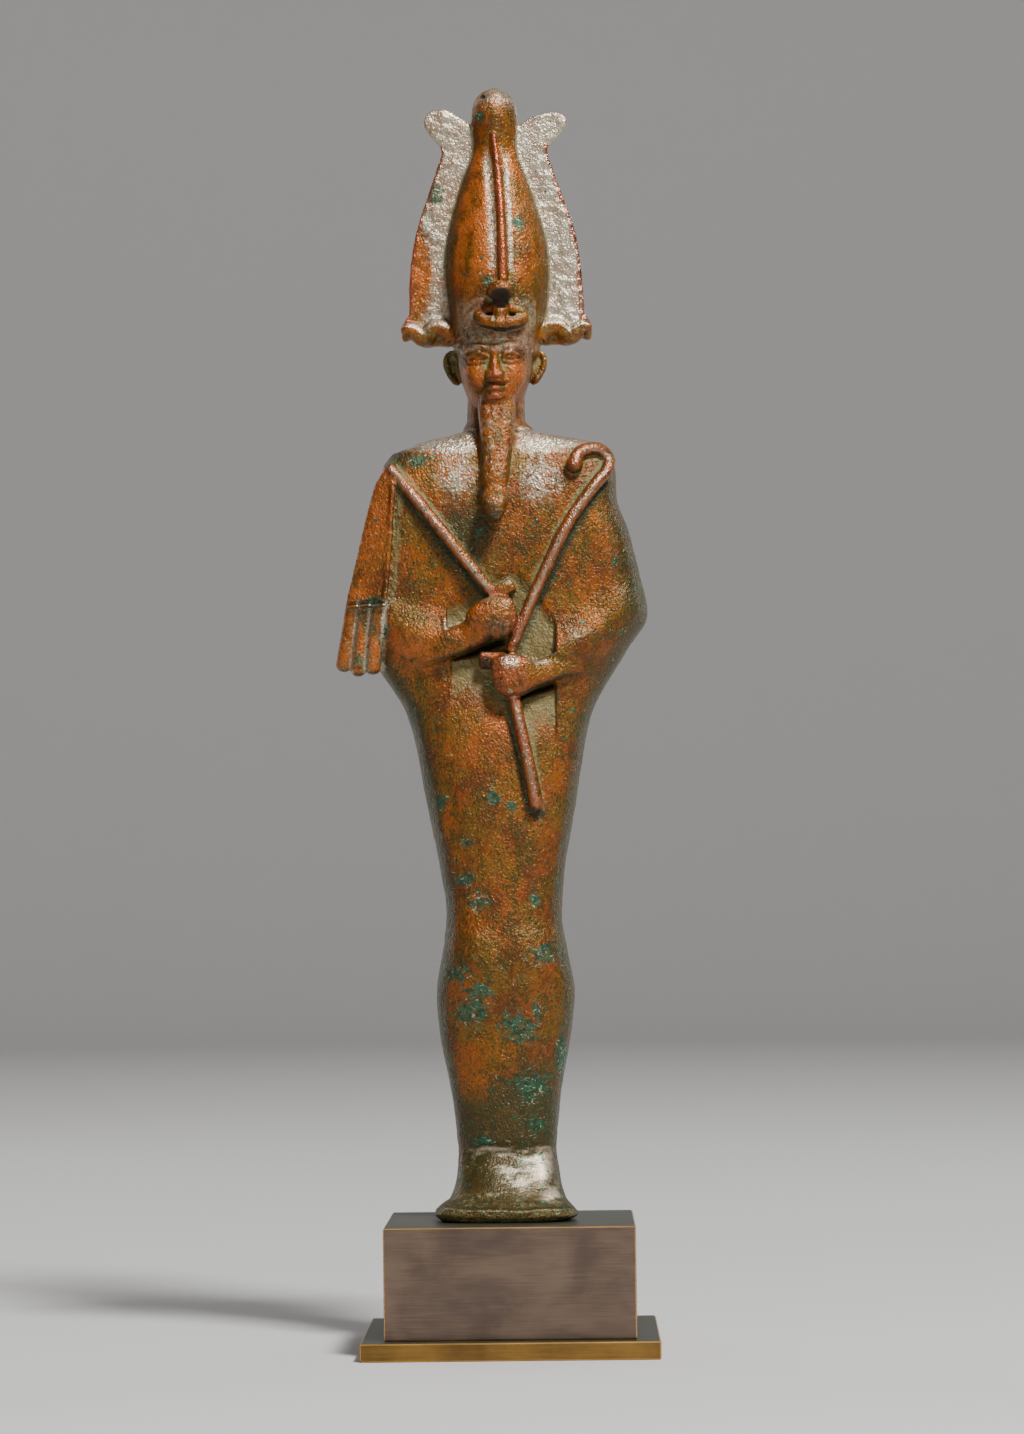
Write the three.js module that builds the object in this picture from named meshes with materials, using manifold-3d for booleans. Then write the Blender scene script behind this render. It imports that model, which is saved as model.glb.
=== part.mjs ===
// A cast bronze figure of a wrapped standing deity in a tall plumed crown, on a stepped brass stand.
// Millimetres, +Z up, the figure faces -Y. The origin is the middle of the base plate's underside.
import * as THREE from 'three';
import { mergeVertices } from 'three/addons/utils/BufferGeometryUtils.js';
import Module from 'manifold-3d';

const wasm = await Module();
wasm.setup();

// Stand
const blockWidth = 55;
const blockDepth = 55;
const blockHeight = 24.5;
const plateStep = 5.1;
const plateHeight = 4;
const edgeChamfer = 0.35;

// Figure: its height, and where its middle line stands on the block
const figureHeight = 254;
const figureShift = -0.9;

// The figure is laid out on a grid of equal parts up its height. Every size from here on is in parts.
const heightInParts = 254;

// How finely each rounded form is cut: sides around it and rings along it. The body and the crown
// take their rings from their rows, with none further apart than the gap.
const facets = {
  body: { sides: 28, gap: 8 },
  crown: { sides: 24, gap: 5 },
  panel: { sides: 12, gap: 6 },
  head: { sides: 24, rings: 16 },
  beard: { sides: 12, rings: 12 },
  ball: { sides: 10, rings: 7 },
  coil: { sides: 6, rings: 16 },
  cobraNeck: { sides: 8, rings: 3 },
  tail: { sides: 6, rings: 7 },
  horn: { sides: 8, rings: 12 },
  staff: { sides: 8, rings: 6 },
  strand: { sides: 10, rings: 5 },
  wrist: { sides: 10, rings: 3 },
  thumb: { sides: 8, rings: 5 },
  crook: { sides: 6, rings: 24 },
  rod: { sides: 6, rings: 6 },
  bead: { sides: 6, rings: 8 },
};

// Feet and body, up to the neck: height, left and right half widths, front, back, the depth where
// the section is widest, and how square it is (2 is an ellipse)
const bodyRows = [
  [0, 13.0, 13.4, -13.6, 12.4, -6.5, 2.5],
  [0.9, 15.2, 15.7, -15.2, 13.2, -7.0, 2.5],
  [2.9, 15.5, 15.8, -15.6, 13.3, -7.0, 2.5],
  [4.8, 12.8, 13.4, -13.2, 13.0, -5.0, 2.4],
  [9.1, 11.1, 12.1, -9.2, 12.5, -1.0, 2.4],
  [16.0, 10.5, 11.2, -4.6, 11.8, 2.5, 2.4],
  [16.8, 10.7, 11.4, -5.5, 11.9, 2.5, 2.3],
  [27.0, 11.9, 12.3, -5.9, 12.4, 2.8, 2.3],
  [41.0, 14.5, 14.8, -7.4, 12.8, 2.5, 2.3],
  [50.5, 15.1, 15.8, -8.8, 12.5, 2.0, 2.3],
  [59.5, 13.7, 14.3, -9.3, 10.9, 1.2, 2.3],
  [68.0, 12.7, 13.1, -8.9, 10.1, 0.8, 2.3],
  [77.0, 13.8, 13.8, -9.2, 10.8, 0.8, 2.3],
  [91.5, 16.6, 16.4, -9.8, 12.2, 1.0, 2.3],
  [105.0, 19.0, 18.6, -9.9, 12.3, 1.0, 2.4],
  [113.0, 21.2, 20.5, -9.5, 11.6, 1.2, 2.4],
  [120.5, 25.6, 24.6, -8.8, 10.8, 1.4, 2.4],
  [127.5, 30.2, 29.0, -8.4, 10.2, 1.6, 2.5],
  [134.6, 33.2, 33.2, -8.6, 10.0, 1.8, 2.6],
  [144.0, 31.6, 31.4, -9.4, 10.6, 1.6, 2.7],
  [153.5, 29.2, 29.1, -10.2, 11.2, 1.4, 3.0],
  [161.0, 26.8, 26.5, -10.2, 11.2, 1.2, 3.3],
  [167.0, 26.2, 26.4, -9.5, 10.6, 1.0, 3.5],
  [170.6, 24.4, 25.4, -8.6, 9.8, 1.0, 3.4],
  [172.8, 20.6, 23.0, -7.6, 9.0, 1.0, 3.0],
  [174.6, 13.6, 17.6, -6.6, 8.2, 1.0, 2.6],
  [175.8, 8.4, 9.2, -5.9, 7.4, 0.9, 2.2],
  [178.0, 6.8, 6.2, -5.4, 6.8, 0.8, 2.0],
  [188.0, 6.7, 6.1, -5.4, 6.6, 0.6, 2.0],
];

// Soft swellings on the front of the body: two ends, radius and how far it stands out
const swellings = [
  { from: [29, 135], to: [14, 126], radius: 7.5, rise: 1.8 },
  { from: [-29, 134], to: [-13, 128], radius: 7.5, rise: 1.8 },
  { from: [23, 162], to: [28, 140], radius: 7, rise: 0.7 },
  { from: [-22, 162], to: [-27, 140], radius: 7, rise: 0.7 },
  { from: [6.4, 60], to: [6.4, 54], radius: 6.5, rise: 0.7 },
  { from: [-6.2, 60], to: [-6.2, 54], radius: 6.5, rise: 0.7 },
];

// Head: height, half width, front, back and squareness
const headShift = -0.35;
const faceCrowding = 0.55;
const headRows = [
  [179.6, 3.2, -6.4, 3.0, 2.0],
  [181.4, 4.6, -9.4, 4.4, 2.2],
  [183.2, 6.0, -9.9, 5.6, 2.3],
  [186.4, 7.3, -9.6, 6.8, 2.4],
  [190.6, 8.3, -9.7, 7.8, 2.4],
  [194.6, 8.5, -10.1, 8.4, 2.3],
  [199.0, 8.2, -8.6, 8.4, 2.2],
];

// The face is a plain one on the usual canon: under the crown's rim a brow, then equal thirds down
// to the nose and the chin. Each form has a level, a place to the side, how far it reaches across
// and up, and how far it stands out.
const faceTop = 196.2;
const faceLength = 14.4;
const browLevel = faceTop - 0.1 * faceLength;
const eyeLevel = faceTop - 0.25 * faceLength;
const noseLevel = faceTop - 0.56 * faceLength;
const mouthLevel = faceTop - 0.71 * faceLength;
const chinLevel = faceTop - 0.9 * faceLength;
const eyeOffset = 3.5;
const nose = { halfWidths: [1.3, 2.8], rises: [0.4, 2.3], under: 1.1 };
const faceForms = {
  brow: { level: browLevel, offset: eyeOffset, reach: [4.2, 1.3], rise: 0.45 },
  socket: { level: eyeLevel, offset: eyeOffset, reach: [2.9, 1.9], rise: -0.75 },
  eye: { level: eyeLevel, offset: eyeOffset, reach: [2.3, 1.1], rise: 0.65 },
  cheek: { level: noseLevel + 1, offset: 4.6, reach: [3.2, 3.4], rise: 0.35 },
  upperLip: { level: mouthLevel + 0.7, offset: 0, reach: [3.0, 0.95], rise: 0.75 },
  lowerLip: { level: mouthLevel - 0.8, offset: 0, reach: [2.5, 0.95], rise: 0.7 },
  chin: { level: chinLevel, offset: 0, reach: [3.2, 1.9], rise: 0.8 },
};

// Crown: height, left and right half widths, front, back. Its rim drops towards the nape, from a
// little before the ears to a little behind them.
const crownRows = [
  [195.6, 8.7, 8.6, -9.6, 8.6],
  [196.4, 9.2, 9.1, -11.0, 9.2],
  [197.6, 9.6, 9.6, -11.2, 9.8],
  [199.4, 9.9, 10.1, -10.7, 10.3],
  [205.2, 10.7, 11.4, -10.3, 11.2],
  [212.0, 11.3, 12.1, -9.9, 11.7],
  [217.0, 11.1, 11.9, -9.3, 11.6],
  [223.0, 10.1, 10.6, -8.3, 10.9],
  [229.0, 8.6, 8.8, -6.9, 9.7],
  [234.5, 6.7, 6.9, -5.2, 8.1],
  [240.6, 4.8, 5.1, -3.6, 6.7],
  [244.0, 5.0, 5.2, -3.8, 6.7],
  [247.4, 5.4, 5.4, -4.1, 6.7],
  [250.6, 4.7, 4.7, -3.5, 6.0],
  [252.8, 3.1, 3.1, -2.0, 4.5],
  [254.0, 0.9, 0.9, 0.2, 2.4],
];
const crownMiddle = 1.2;
const rimDrop = 8.5;
const rimDropEnd = 214;
const rimTurn = 0.67;
const rimSoftness = 1.5;

// Plumes: the inner end of each curl differs a little, the rest is one outline for both
const plumeThickness = 3;
const plumeBevel = 0.55;
const plumeMiddle = 1.6;
const plumeRoot = 3.5;
const plumeFoot = { top: 200, bottom: 197 };
const leftCurl = [
  [4.4, 244.6], [8.2, 247.8], [11.4, 249.3], [14.8, 248.6], [16.0, 246.5], [14.6, 243.6],
];
const rightCurl = [
  [4.4, 244.4], [8.8, 247.5], [12.4, 248.4], [15.4, 247.9], [16.5, 246.3], [14.8, 243.5],
];
const plumeEdge = [
  [12.1, 240.6], [13.5, 234.6], [15.4, 229.2], [17.2, 224], [18.6, 218.2], [19.4, 211.5], [19.7, 203],
];
const hornEdge = [
  [20.8, 201.3], [21.4, 199.2], [20.9, 196.9], [18.8, 197.3], [16.3, 195.6], [13.4, 195.8], [11.0, 195.6],
];
const hornRidge = [
  [9.6, 198.0], [11.6, 200.2], [14.2, 200.3], [16.6, 197.8], [18.6, 199.6], [19.8, 200.0], [20.4, 198.2],
];
const hornRadii = [1.25, 1.0];
const hornRound = 0.1;

// Small cobra on the crown: a rearing head on a neck, an oval coil of the body behind it, and the tail
// up the crown's front
const cobraMiddle = 1.2;
const cobraHead = { height: 207.2, size: [2.5, 2.2, 2.3], lift: 2.2 };
const cobraNeck = { from: 199.8, halfWidths: [2.2, 1.9], halfDepth: 1.5, lifts: [0.6, 1.0] };
const cobraCoil = { height: 202.7, halfWidth: 6.3, halfHeight: 3.4, thickness: 1.1, lift: 0.5 };
const tailPath = [[1.7, 209], [1.5, 222], [0.8, 234], [-0.2, 243]];
const tailRadii = [0.9, 0.35];
const tailLift = 0.2;

// Beard, from the chin to its curled tip: middle across, depth, height, half width, half depth
const beardRows = [
  [0.05, -7.0, 183.4, 3.4, 2.4],
  [0.05, -8.0, 181.2, 4.0, 3.4],
  [-0.05, -8.6, 175.5, 3.6, 3.9],
  [-0.2, -10.0, 169.5, 3.1, 3.5],
  [-0.35, -11.6, 164.6, 2.65, 2.9],
  [-0.45, -13.0, 161.4, 2.75, 2.9],
  [-0.5, -14.0, 158.9, 2.3, 2.3],
  [-0.55, -14.3, 157.8, 0.9, 0.9],
];

// Crook and flail. A rod stands out from the body by a share of its radius.
const rodLift = 0.75;
const crookRadius = 1.05;
const crookPath = [
  [17.1, 167.6], [17.9, 169.9], [20.4, 171.3], [23.0, 171.1], [24.8, 169.3], [24.6, 166.8], [22.4, 164.0],
  [18.0, 158.2], [14.6, 152.8], [11.0, 145.4], [7.6, 138.4], [4.6, 131.4], [2.4, 126.0],
];
const crookKnobSize = [1.75, 1.6, 1.75];
const staffPath = [[2.6, 119], [3.6, 113.6], [5.9, 102.4], [8.0, 91.1]];
const staffRadii = [1.1, 1.45];
const rodRadius = 1.1;
const rodPath = [[-24.2, 167.9], [-13.2, 154.0], [-2.0, 139.8]];

// Flail panel: height, inner edge, outer edge
const panelRows = [
  [136.6, -25.2, -34.1],
  [145.0, -24.4, -32.4],
  [154.1, -23.7, -30.1],
  [163.7, -23.2, -27.4],
  [167.6, -23.6, -25.6],
];
const panelLift = 1.5;
const panelSlope = 0.45;
const panelThickness = 3.4;
const panelCorner = 0.35;
const beadRadius = 0.65;
const beadShare = 0.04;

// Flail strands: top middle, bottom middle, bottom height and depth of each
const strandTop = 138.2;
const strandRows = [
  { top: -32.7, bottom: -35.2, end: 122.4, depth: -1.6 },
  { top: -30.0, bottom: -31.9, end: 121.3, depth: -3.0 },
  { top: -27.1, bottom: -28.6, end: 121.6, depth: -4.2 },
];
const strandLean = 0.8;
const strandHalfWidths = [1.75, 1.4];
const strandHalfDepths = [1.7, 1.36];
const strandRound = 0.12;

// Hands and bare wrists. Points are across, height and lift off the body's front.
const rightWrist = { from: [-14.5, 126.6, -2.4], to: [-1.6, 134.4, 1.6], radii: [3.9, 3.2] };
const rightFist = { at: [-0.2, 134.9, 1.9], size: [4.2, 3.6, 4.9], turn: -0.5 };
const rightThumb = { path: [[0.2, 139.0, 1.6], [1.6, 140.8, 1.2], [3.5, 143.6, 0.7]], radii: [1.3, 0.95] };
const leftWrist = { from: [17.0, 124.9, -2.4], to: [3.4, 121.6, 1.6], radii: [3.9, 3.3] };
const leftFist = { at: [1.7, 121.4, 1.9], size: [3.5, 3.6, 4.5], turn: 0.1 };
const leftThumb = { path: [[0.4, 124.9, 1.4], [-1.8, 124.9, 1.0], [-4.2, 124.5, 0.5]], radii: [1.3, 1.0] };
const wristFlatness = 0.85;
const thumbRound = 0.3;

// Ears
const earSize = [1.9, 1.3, 3.9];
const ears = [[-10.2, 191.0], [9.4, 191.0]];
const earDepth = 1.6;
const earTilt = 0.14;

const { lerp } = THREE.MathUtils;
const limit = (value) => Math.min(Math.max(value, 0), 1);
const signedPower = (value, power) => Math.sign(value) * Math.abs(value) ** power;

// A soft bump of height 1 that dies out at the reach
const hump = (distance, reach) => (1 - limit(Math.abs(distance) / reach) ** 2) ** 2;

// Value at a height from rows that start with the height: a smooth curve with no overshoot
function valueAt(rows, column, height) {
  const last = rows.length - 1;
  const slopes = rows.map((row, i) => {
    if (i === 0 || i === last) return 0;
    const before = (row[column] - rows[i - 1][column]) / (row[0] - rows[i - 1][0]);
    const after = (rows[i + 1][column] - row[column]) / (rows[i + 1][0] - row[0]);
    return before * after <= 0 ? 0 : (2 * before * after) / (before + after);
  });
  const inside = Math.min(Math.max(height, rows[0][0]), rows[last][0]);
  const i = Math.min(rows.findLastIndex((row) => row[0] <= inside), last - 1);
  const span = rows[i + 1][0] - rows[i][0];
  const t = (inside - rows[i][0]) / span;
  const start = rows[i][column] * (1 + 2 * t) * (1 - t) ** 2 + slopes[i] * span * t * (1 - t) ** 2;
  const end = rows[i + 1][column] * (3 - 2 * t) * t ** 2 - slopes[i + 1] * span * (1 - t) * t ** 2;
  return start + end;
}

// Every value after the height, at a height
const rowAt = (rows, height) => rows[0].slice(1).map((_, i) => valueAt(rows, i + 1, height));

// Ring heights that keep every row and fill the gaps between them
function ringHeights(rows, gap) {
  const heights = [rows[0][0]];
  for (let i = 1; i < rows.length; i += 1) {
    const span = rows[i][0] - rows[i - 1][0];
    const steps = Math.ceil(span / gap);
    for (let step = 1; step <= steps; step += 1) heights.push(rows[i - 1][0] + (span * step) / steps);
  }
  return heights;
}

// A closed tube of rings. place(ring, across, away, radius) gives each vertex: (across, away) is the
// direction on a unit circle, away pointing to the back, and radius is 0 in the middle of an end.
function loft(sides, rings, place) {
  const geometry = new THREE.CylinderGeometry(1, 1, rings, sides, rings);
  geometry.rotateX(Math.PI / 2);
  const points = geometry.attributes.position;
  for (let i = 0; i < points.count; i += 1) {
    const ring = Math.round(points.getZ(i) + rings / 2);
    const radius = Math.round(Math.hypot(points.getX(i), points.getY(i)));
    const spot = place(ring, points.getX(i), points.getY(i), radius);
    points.setXYZ(i, spot.x, spot.y, spot.z);
  }
  return geometry;
}

// How far the front of the body stands out at a place, from the swellings
function swellingAt(x, height) {
  let rise = 0;
  for (const swelling of swellings) {
    const from = new THREE.Vector3(swelling.from[0], swelling.from[1], 0);
    const to = new THREE.Vector3(swelling.to[0], swelling.to[1], 0);
    const place = new THREE.Vector3(x, height, 0);
    const near = new THREE.Line3(from, to).closestPointToPoint(place, true, new THREE.Vector3());
    rise += swelling.rise * hump(place.distanceTo(near), swelling.radius);
  }
  return rise;
}

function bodyPoint(height, across, away, radius) {
  const [left, right, front, back, middle, square] = rowAt(bodyRows, height);
  const x = signedPower(across, 2 / square) * (across < 0 ? left : right);
  const reach = away < 0 ? middle - front : back - middle;
  const swelling = away < 0 ? swellingAt(x, height) * Math.min(1, -2 * away) : 0;
  const y = middle + (signedPower(away, 2 / square) * reach - swelling) * radius;
  return new THREE.Vector3(x * radius, y, height);
}

// Depth of the body's front surface at a place
function bodyFront(x, height) {
  const [left, right, front, , middle, square] = rowAt(bodyRows, height);
  const share = limit(Math.abs(x) / (x < 0 ? left : right));
  return middle - (middle - front) * (1 - share ** square) ** (1 / square) - swellingAt(x, height);
}

const onBody = ([x, height], lift) => new THREE.Vector3(x, bodyFront(x, height) - lift, height);

// A tapered round or oval limb along a path, with its rings closer together towards its ends
function limb(path, cut, sizeAt) {
  const curve = new THREE.CatmullRomCurve3(path);
  return loft(cut.sides, cut.rings, (ring, across, away, radius) => {
    const share = 0.5 - 0.5 * Math.cos((Math.PI * ring) / cut.rings);
    const along = curve.getTangentAt(share);
    const side = new THREE.Vector3().crossVectors(new THREE.Vector3(0, 1, 0), along).normalize();
    const behind = new THREE.Vector3().crossVectors(along, side);
    const [halfWidth, halfDepth] = sizeAt(share);
    const spot = curve.getPointAt(share).addScaledVector(side, across * halfWidth * radius);
    return spot.addScaledVector(behind, away * halfDepth * radius);
  });
}

const taper = ([start, end]) => (share) => [lerp(start, end, share), lerp(start, end, share)];

// How much of its size a limb keeps where it closes in a round end, within a share of its length
function roundEnd(share, within) {
  const thinnest = 0.2;
  return Math.max(Math.sqrt(1 - (1 - limit(share / within)) ** 2), thinnest);
}

// A round rod of one size along a path
function rod(path, radius, cut) {
  const circle = new THREE.Shape().absarc(0, 0, radius, 0, 2 * Math.PI);
  const extrudePath = new THREE.CatmullRomCurve3(path);
  const curveSegments = cut.sides / 2;
  return new THREE.ExtrudeGeometry(circle, { extrudePath, steps: cut.rings, curveSegments });
}

function ball(size, turn, at) {
  const geometry = new THREE.SphereGeometry(1, facets.ball.sides, facets.ball.rings);
  geometry.scale(size[0], size[1], size[2]);
  geometry.rotateY(turn);
  geometry.translate(at.x, at.y, at.z);
  return geometry;
}

function bodyGeometry() {
  const heights = ringHeights(bodyRows, facets.body.gap);
  const place = (ring, across, away, radius) => bodyPoint(heights[ring], across, away, radius);
  return loft(facets.body.sides, heights.length - 1, place);
}

// Relief of the plain face at a place: how far it stands out from the head's curve
function faceRelief(x, height) {
  const share = limit((browLevel - height) / (browLevel - noseLevel));
  const under = height > noseLevel ? 1 : hump(height - noseLevel, nose.under);
  const width = lerp(nose.halfWidths[0], nose.halfWidths[1], share);
  let rise = lerp(nose.rises[0], nose.rises[1], share) * hump(x, width) * under;
  for (const form of Object.values(faceForms)) {
    const across = hump(Math.abs(x) - form.offset, form.reach[0]);
    rise += form.rise * across * hump(height - form.level, form.reach[1]);
  }
  return rise;
}

function headGeometry() {
  const first = headRows[0][0];
  const last = headRows[headRows.length - 1][0];
  return loft(facets.head.sides, facets.head.rings, (ring, across, away, radius) => {
    const height = lerp(first, last, ring / facets.head.rings);
    const [half, front, back, square] = rowAt(headRows, height);
    const turn = Math.atan2(across, -away);
    const forward = turn - faceCrowding * Math.sin(turn);
    const x = signedPower(Math.sin(forward), 2 / square) * half;
    const depth = -signedPower(Math.cos(forward), 2 / square);
    const relief = faceRelief(x, height) * limit(-2 * depth);
    const y = depth < 0 ? -depth * front - relief : depth * back;
    return new THREE.Vector3(headShift + x * radius, y * radius, height);
  });
}

function crownGeometry() {
  const heights = ringHeights(crownRows, facets.crown.gap);
  return loft(facets.crown.sides, heights.length - 1, (ring, across, away, radius) => {
    const height = heights[ring];
    const [left, right, front, back] = rowAt(crownRows, height);
    const x = across * (across < 0 ? left : right);
    const reach = away < 0 ? crownMiddle - front : back - crownMiddle;
    const fade = limit((rimDropEnd - height) / (rimDropEnd - crownRows[0][0]));
    const drop = rimDrop * fade * limit((away + rimTurn) / (2 * rimTurn)) ** rimSoftness;
    return new THREE.Vector3(x * radius, crownMiddle + away * reach * radius, height - drop * radius);
  });
}

// A place on the crown's front, or standing out from it
function onCrown([x, height], lift) {
  const [left, right, front] = rowAt(crownRows, height);
  const share = limit(Math.abs(x) / (x < 0 ? left : right));
  const depth = crownMiddle - (crownMiddle - front) * Math.sqrt(1 - share ** 2);
  return new THREE.Vector3(x, depth - lift, height);
}

function plumeGeometry(side, curl) {
  const mirrored = (points) => points.map(([x, height]) => new THREE.Vector2(x * side, height));
  const [curlStart, ...edge] = mirrored([...curl, ...plumeEdge]);
  const outline = new THREE.Shape();
  outline.moveTo(plumeRoot * side, plumeFoot.top);
  outline.lineTo(curlStart.x, curlStart.y);
  outline.splineThru(edge);
  outline.splineThru(mirrored(hornEdge));
  outline.lineTo(plumeRoot * side, plumeFoot.bottom);
  const geometry = new THREE.ExtrudeGeometry(outline, {
    depth: plumeThickness - 2 * plumeBevel,
    curveSegments: 2,
    bevelThickness: plumeBevel,
    bevelSize: plumeBevel,
    bevelOffset: -plumeBevel,
    bevelSegments: 1,
  });
  geometry.rotateX(Math.PI / 2);
  geometry.translate(0, plumeMiddle + plumeThickness / 2 - plumeBevel, 0);
  return geometry;
}

function hornGeometry(side) {
  const depth = plumeMiddle - plumeThickness / 2;
  const path = hornRidge.map(([x, height]) => new THREE.Vector3(x * side, depth, height));
  const size = taper(hornRadii);
  return limb(path, facets.horn, (share) => size(share).map((half) => half * roundEnd(1 - share, hornRound)));
}

function coilGeometry() {
  const ringRadius = 2;
  const coil = new THREE.TorusGeometry(ringRadius, 1, facets.coil.sides, facets.coil.rings);
  const points = coil.attributes.position;
  for (let i = 0; i < points.count; i += 1) {
    const turn = Math.atan2(points.getY(i), points.getX(i));
    const outward = Math.hypot(points.getX(i), points.getY(i)) - ringRadius;
    const inset = (1 - outward) * cobraCoil.thickness;
    const x = cobraMiddle + Math.cos(turn) * (cobraCoil.halfWidth - inset);
    const height = cobraCoil.height + Math.sin(turn) * (cobraCoil.halfHeight - inset);
    const depth = onCrown([x, height], cobraCoil.lift).y - points.getZ(i) * cobraCoil.thickness;
    points.setXYZ(i, x, depth, height);
  }
  return coil;
}

function cobraGeometries() {
  const neckFoot = onCrown([cobraMiddle, cobraNeck.from], cobraNeck.lifts[0]);
  const neckTop = onCrown([cobraMiddle, cobraHead.height], cobraNeck.lifts[1]);
  const [footWidth, topWidth] = cobraNeck.halfWidths;
  const neckSize = (share) => [lerp(footWidth, topWidth, share), cobraNeck.halfDepth];
  const tail = tailPath.map((point) => onCrown(point, tailLift));
  return [
    ball(cobraHead.size, 0, onCrown([cobraMiddle, cobraHead.height], cobraHead.lift)),
    limb([neckFoot, neckTop], facets.cobraNeck, neckSize),
    limb(tail, facets.tail, taper(tailRadii)),
    coilGeometry(),
  ];
}

function beardGeometry() {
  const { sides, rings } = facets.beard;
  const route = new THREE.CatmullRomCurve3(beardRows.map(([x, y, z]) => new THREE.Vector3(x, y, z)));
  const sizes = new THREE.CatmullRomCurve3(beardRows.map((row) => new THREE.Vector3(row[3], row[4], 0)));
  return loft(sides, rings, (ring, across, away, radius) => {
    const share = 1 - ring / rings;
    const size = sizes.getPoint(share);
    return route.getPoint(share).add(new THREE.Vector3(across * size.x * radius, away * size.y * radius, 0));
  });
}

function crookGeometries() {
  const path = crookPath.map((point) => onBody(point, crookRadius * rodLift));
  const staff = staffPath.map((point) => onBody(point, staffRadii[0] * rodLift));
  return [
    rod(path, crookRadius, facets.crook),
    ball(crookKnobSize, 0, path[0]),
    limb(staff, facets.staff, taper(staffRadii)),
  ];
}

// A place on the flail's panel: share 0 is the inner edge and 1 the outer one, inset 0 is the face
function onPanel(height, share, inset) {
  const [inner, outer] = rowAt(panelRows, height);
  const x = lerp(inner, outer, share);
  const face = bodyFront(inner, height) - panelLift + panelSlope * (inner - x);
  return new THREE.Vector3(x, face + panelThickness * inset, height);
}

function panelGeometries() {
  const heights = ringHeights(panelRows, facets.panel.gap);
  const slab = loft(facets.panel.sides, heights.length - 1, (ring, across, away, radius) => {
    const share = 0.5 - 0.5 * signedPower(across, panelCorner) * radius;
    const inset = 0.5 + 0.5 * signedPower(away, panelCorner) * radius;
    return onPanel(heights[ring], share, inset);
  });
  const edge = panelRows.map(([height]) => onPanel(height, beadShare, 0));
  return [slab, rod(edge, beadRadius, facets.bead)];
}

function strandGeometry({ top, bottom, end, depth }) {
  const path = [new THREE.Vector3(bottom, depth, end), new THREE.Vector3(top, depth - strandLean, strandTop)];
  return limb(path, facets.strand, (share) => {
    const round = roundEnd(share, strandRound);
    const halves = [strandHalfWidths, strandHalfDepths];
    return halves.map(([start, stop]) => round * lerp(start, stop, share));
  });
}

function flailGeometries() {
  const handle = rodPath.map((point) => onBody(point, rodRadius * rodLift));
  return [rod(handle, rodRadius, facets.rod), ...strandRows.map(strandGeometry)];
}

function handGeometries(wrist, fist, thumb) {
  const lifted = ([x, height, lift]) => onBody([x, height], lift);
  const wristSize = (share) => {
    const half = lerp(wrist.radii[0], wrist.radii[1], share);
    return [half, half * wristFlatness];
  };
  const thumbSize = (share) => {
    const half = lerp(thumb.radii[0], thumb.radii[1], share) * roundEnd(1 - share, thumbRound);
    return [half, half];
  };
  return [
    limb([lifted(wrist.from), lifted(wrist.to)], facets.wrist, wristSize),
    ball(fist.size, fist.turn, lifted(fist.at)),
    limb(thumb.path.map(lifted), facets.thumb, thumbSize),
  ];
}

const earGeometry = ([x, height]) =>
  ball(earSize, Math.sign(x) * earTilt, new THREE.Vector3(x, earDepth, height));

function solidOf(geometry) {
  const bare = geometry.clone();
  bare.deleteAttribute('normal');
  bare.deleteAttribute('uv');
  const weldReach = 1e-4;
  const welded = mergeVertices(bare, weldReach);
  const vertProperties = new Float32Array(welded.attributes.position.array);
  const triVerts = new Uint32Array(welded.index.array);
  return new wasm.Manifold(new wasm.Mesh({ numProp: 3, vertProperties, triVerts }));
}

function geometryOf(solid) {
  const mesh = solid.getMesh();
  const geometry = new THREE.BufferGeometry();
  geometry.setAttribute('position', new THREE.BufferAttribute(mesh.vertProperties, 3));
  geometry.setIndex(new THREE.BufferAttribute(mesh.triVerts, 1));
  return geometry;
}

function figureGeometry() {
  const pieces = [
    bodyGeometry(),
    headGeometry(),
    crownGeometry(),
    beardGeometry(),
    plumeGeometry(-1, leftCurl),
    plumeGeometry(1, rightCurl),
    hornGeometry(-1),
    hornGeometry(1),
    ...ears.map(earGeometry),
    ...cobraGeometries(),
    ...crookGeometries(),
    ...panelGeometries(),
    ...flailGeometries(),
    ...handGeometries(rightWrist, rightFist, rightThumb),
    ...handGeometries(leftWrist, leftFist, leftThumb),
  ];
  const figure = pieces.map(solidOf).reduce((whole, piece) => whole.add(piece));
  const part = figureHeight / heightInParts;
  return geometryOf(figure).scale(part, part, part);
}

// A block with its lower face at z = 0 and all its edges chamfered
function standGeometry(width, depth, height) {
  const x = width / 2;
  const y = depth / 2;
  const outline = new THREE.Shape([
    new THREE.Vector2(edgeChamfer - x, -y),
    new THREE.Vector2(x - edgeChamfer, -y),
    new THREE.Vector2(x, edgeChamfer - y),
    new THREE.Vector2(x, y - edgeChamfer),
    new THREE.Vector2(x - edgeChamfer, y),
    new THREE.Vector2(edgeChamfer - x, y),
    new THREE.Vector2(-x, y - edgeChamfer),
    new THREE.Vector2(-x, edgeChamfer - y),
  ]);
  const geometry = new THREE.ExtrudeGeometry(outline, {
    depth: height - 2 * edgeChamfer,
    bevelThickness: edgeChamfer,
    bevelSize: edgeChamfer,
    bevelOffset: -edgeChamfer,
    bevelSegments: 1,
  });
  return geometry.translate(0, 0, edgeChamfer);
}

const bronze = new THREE.MeshStandardMaterial({ color: 0x7a3f1c, roughness: 0.45, metalness: 0.6 });
const darkBrass = new THREE.MeshStandardMaterial({ color: 0x5a4d46, roughness: 0.4, metalness: 0.7 });
const brass = new THREE.MeshStandardMaterial({ color: 0x8a672f, roughness: 0.35, metalness: 0.9 });

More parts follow.
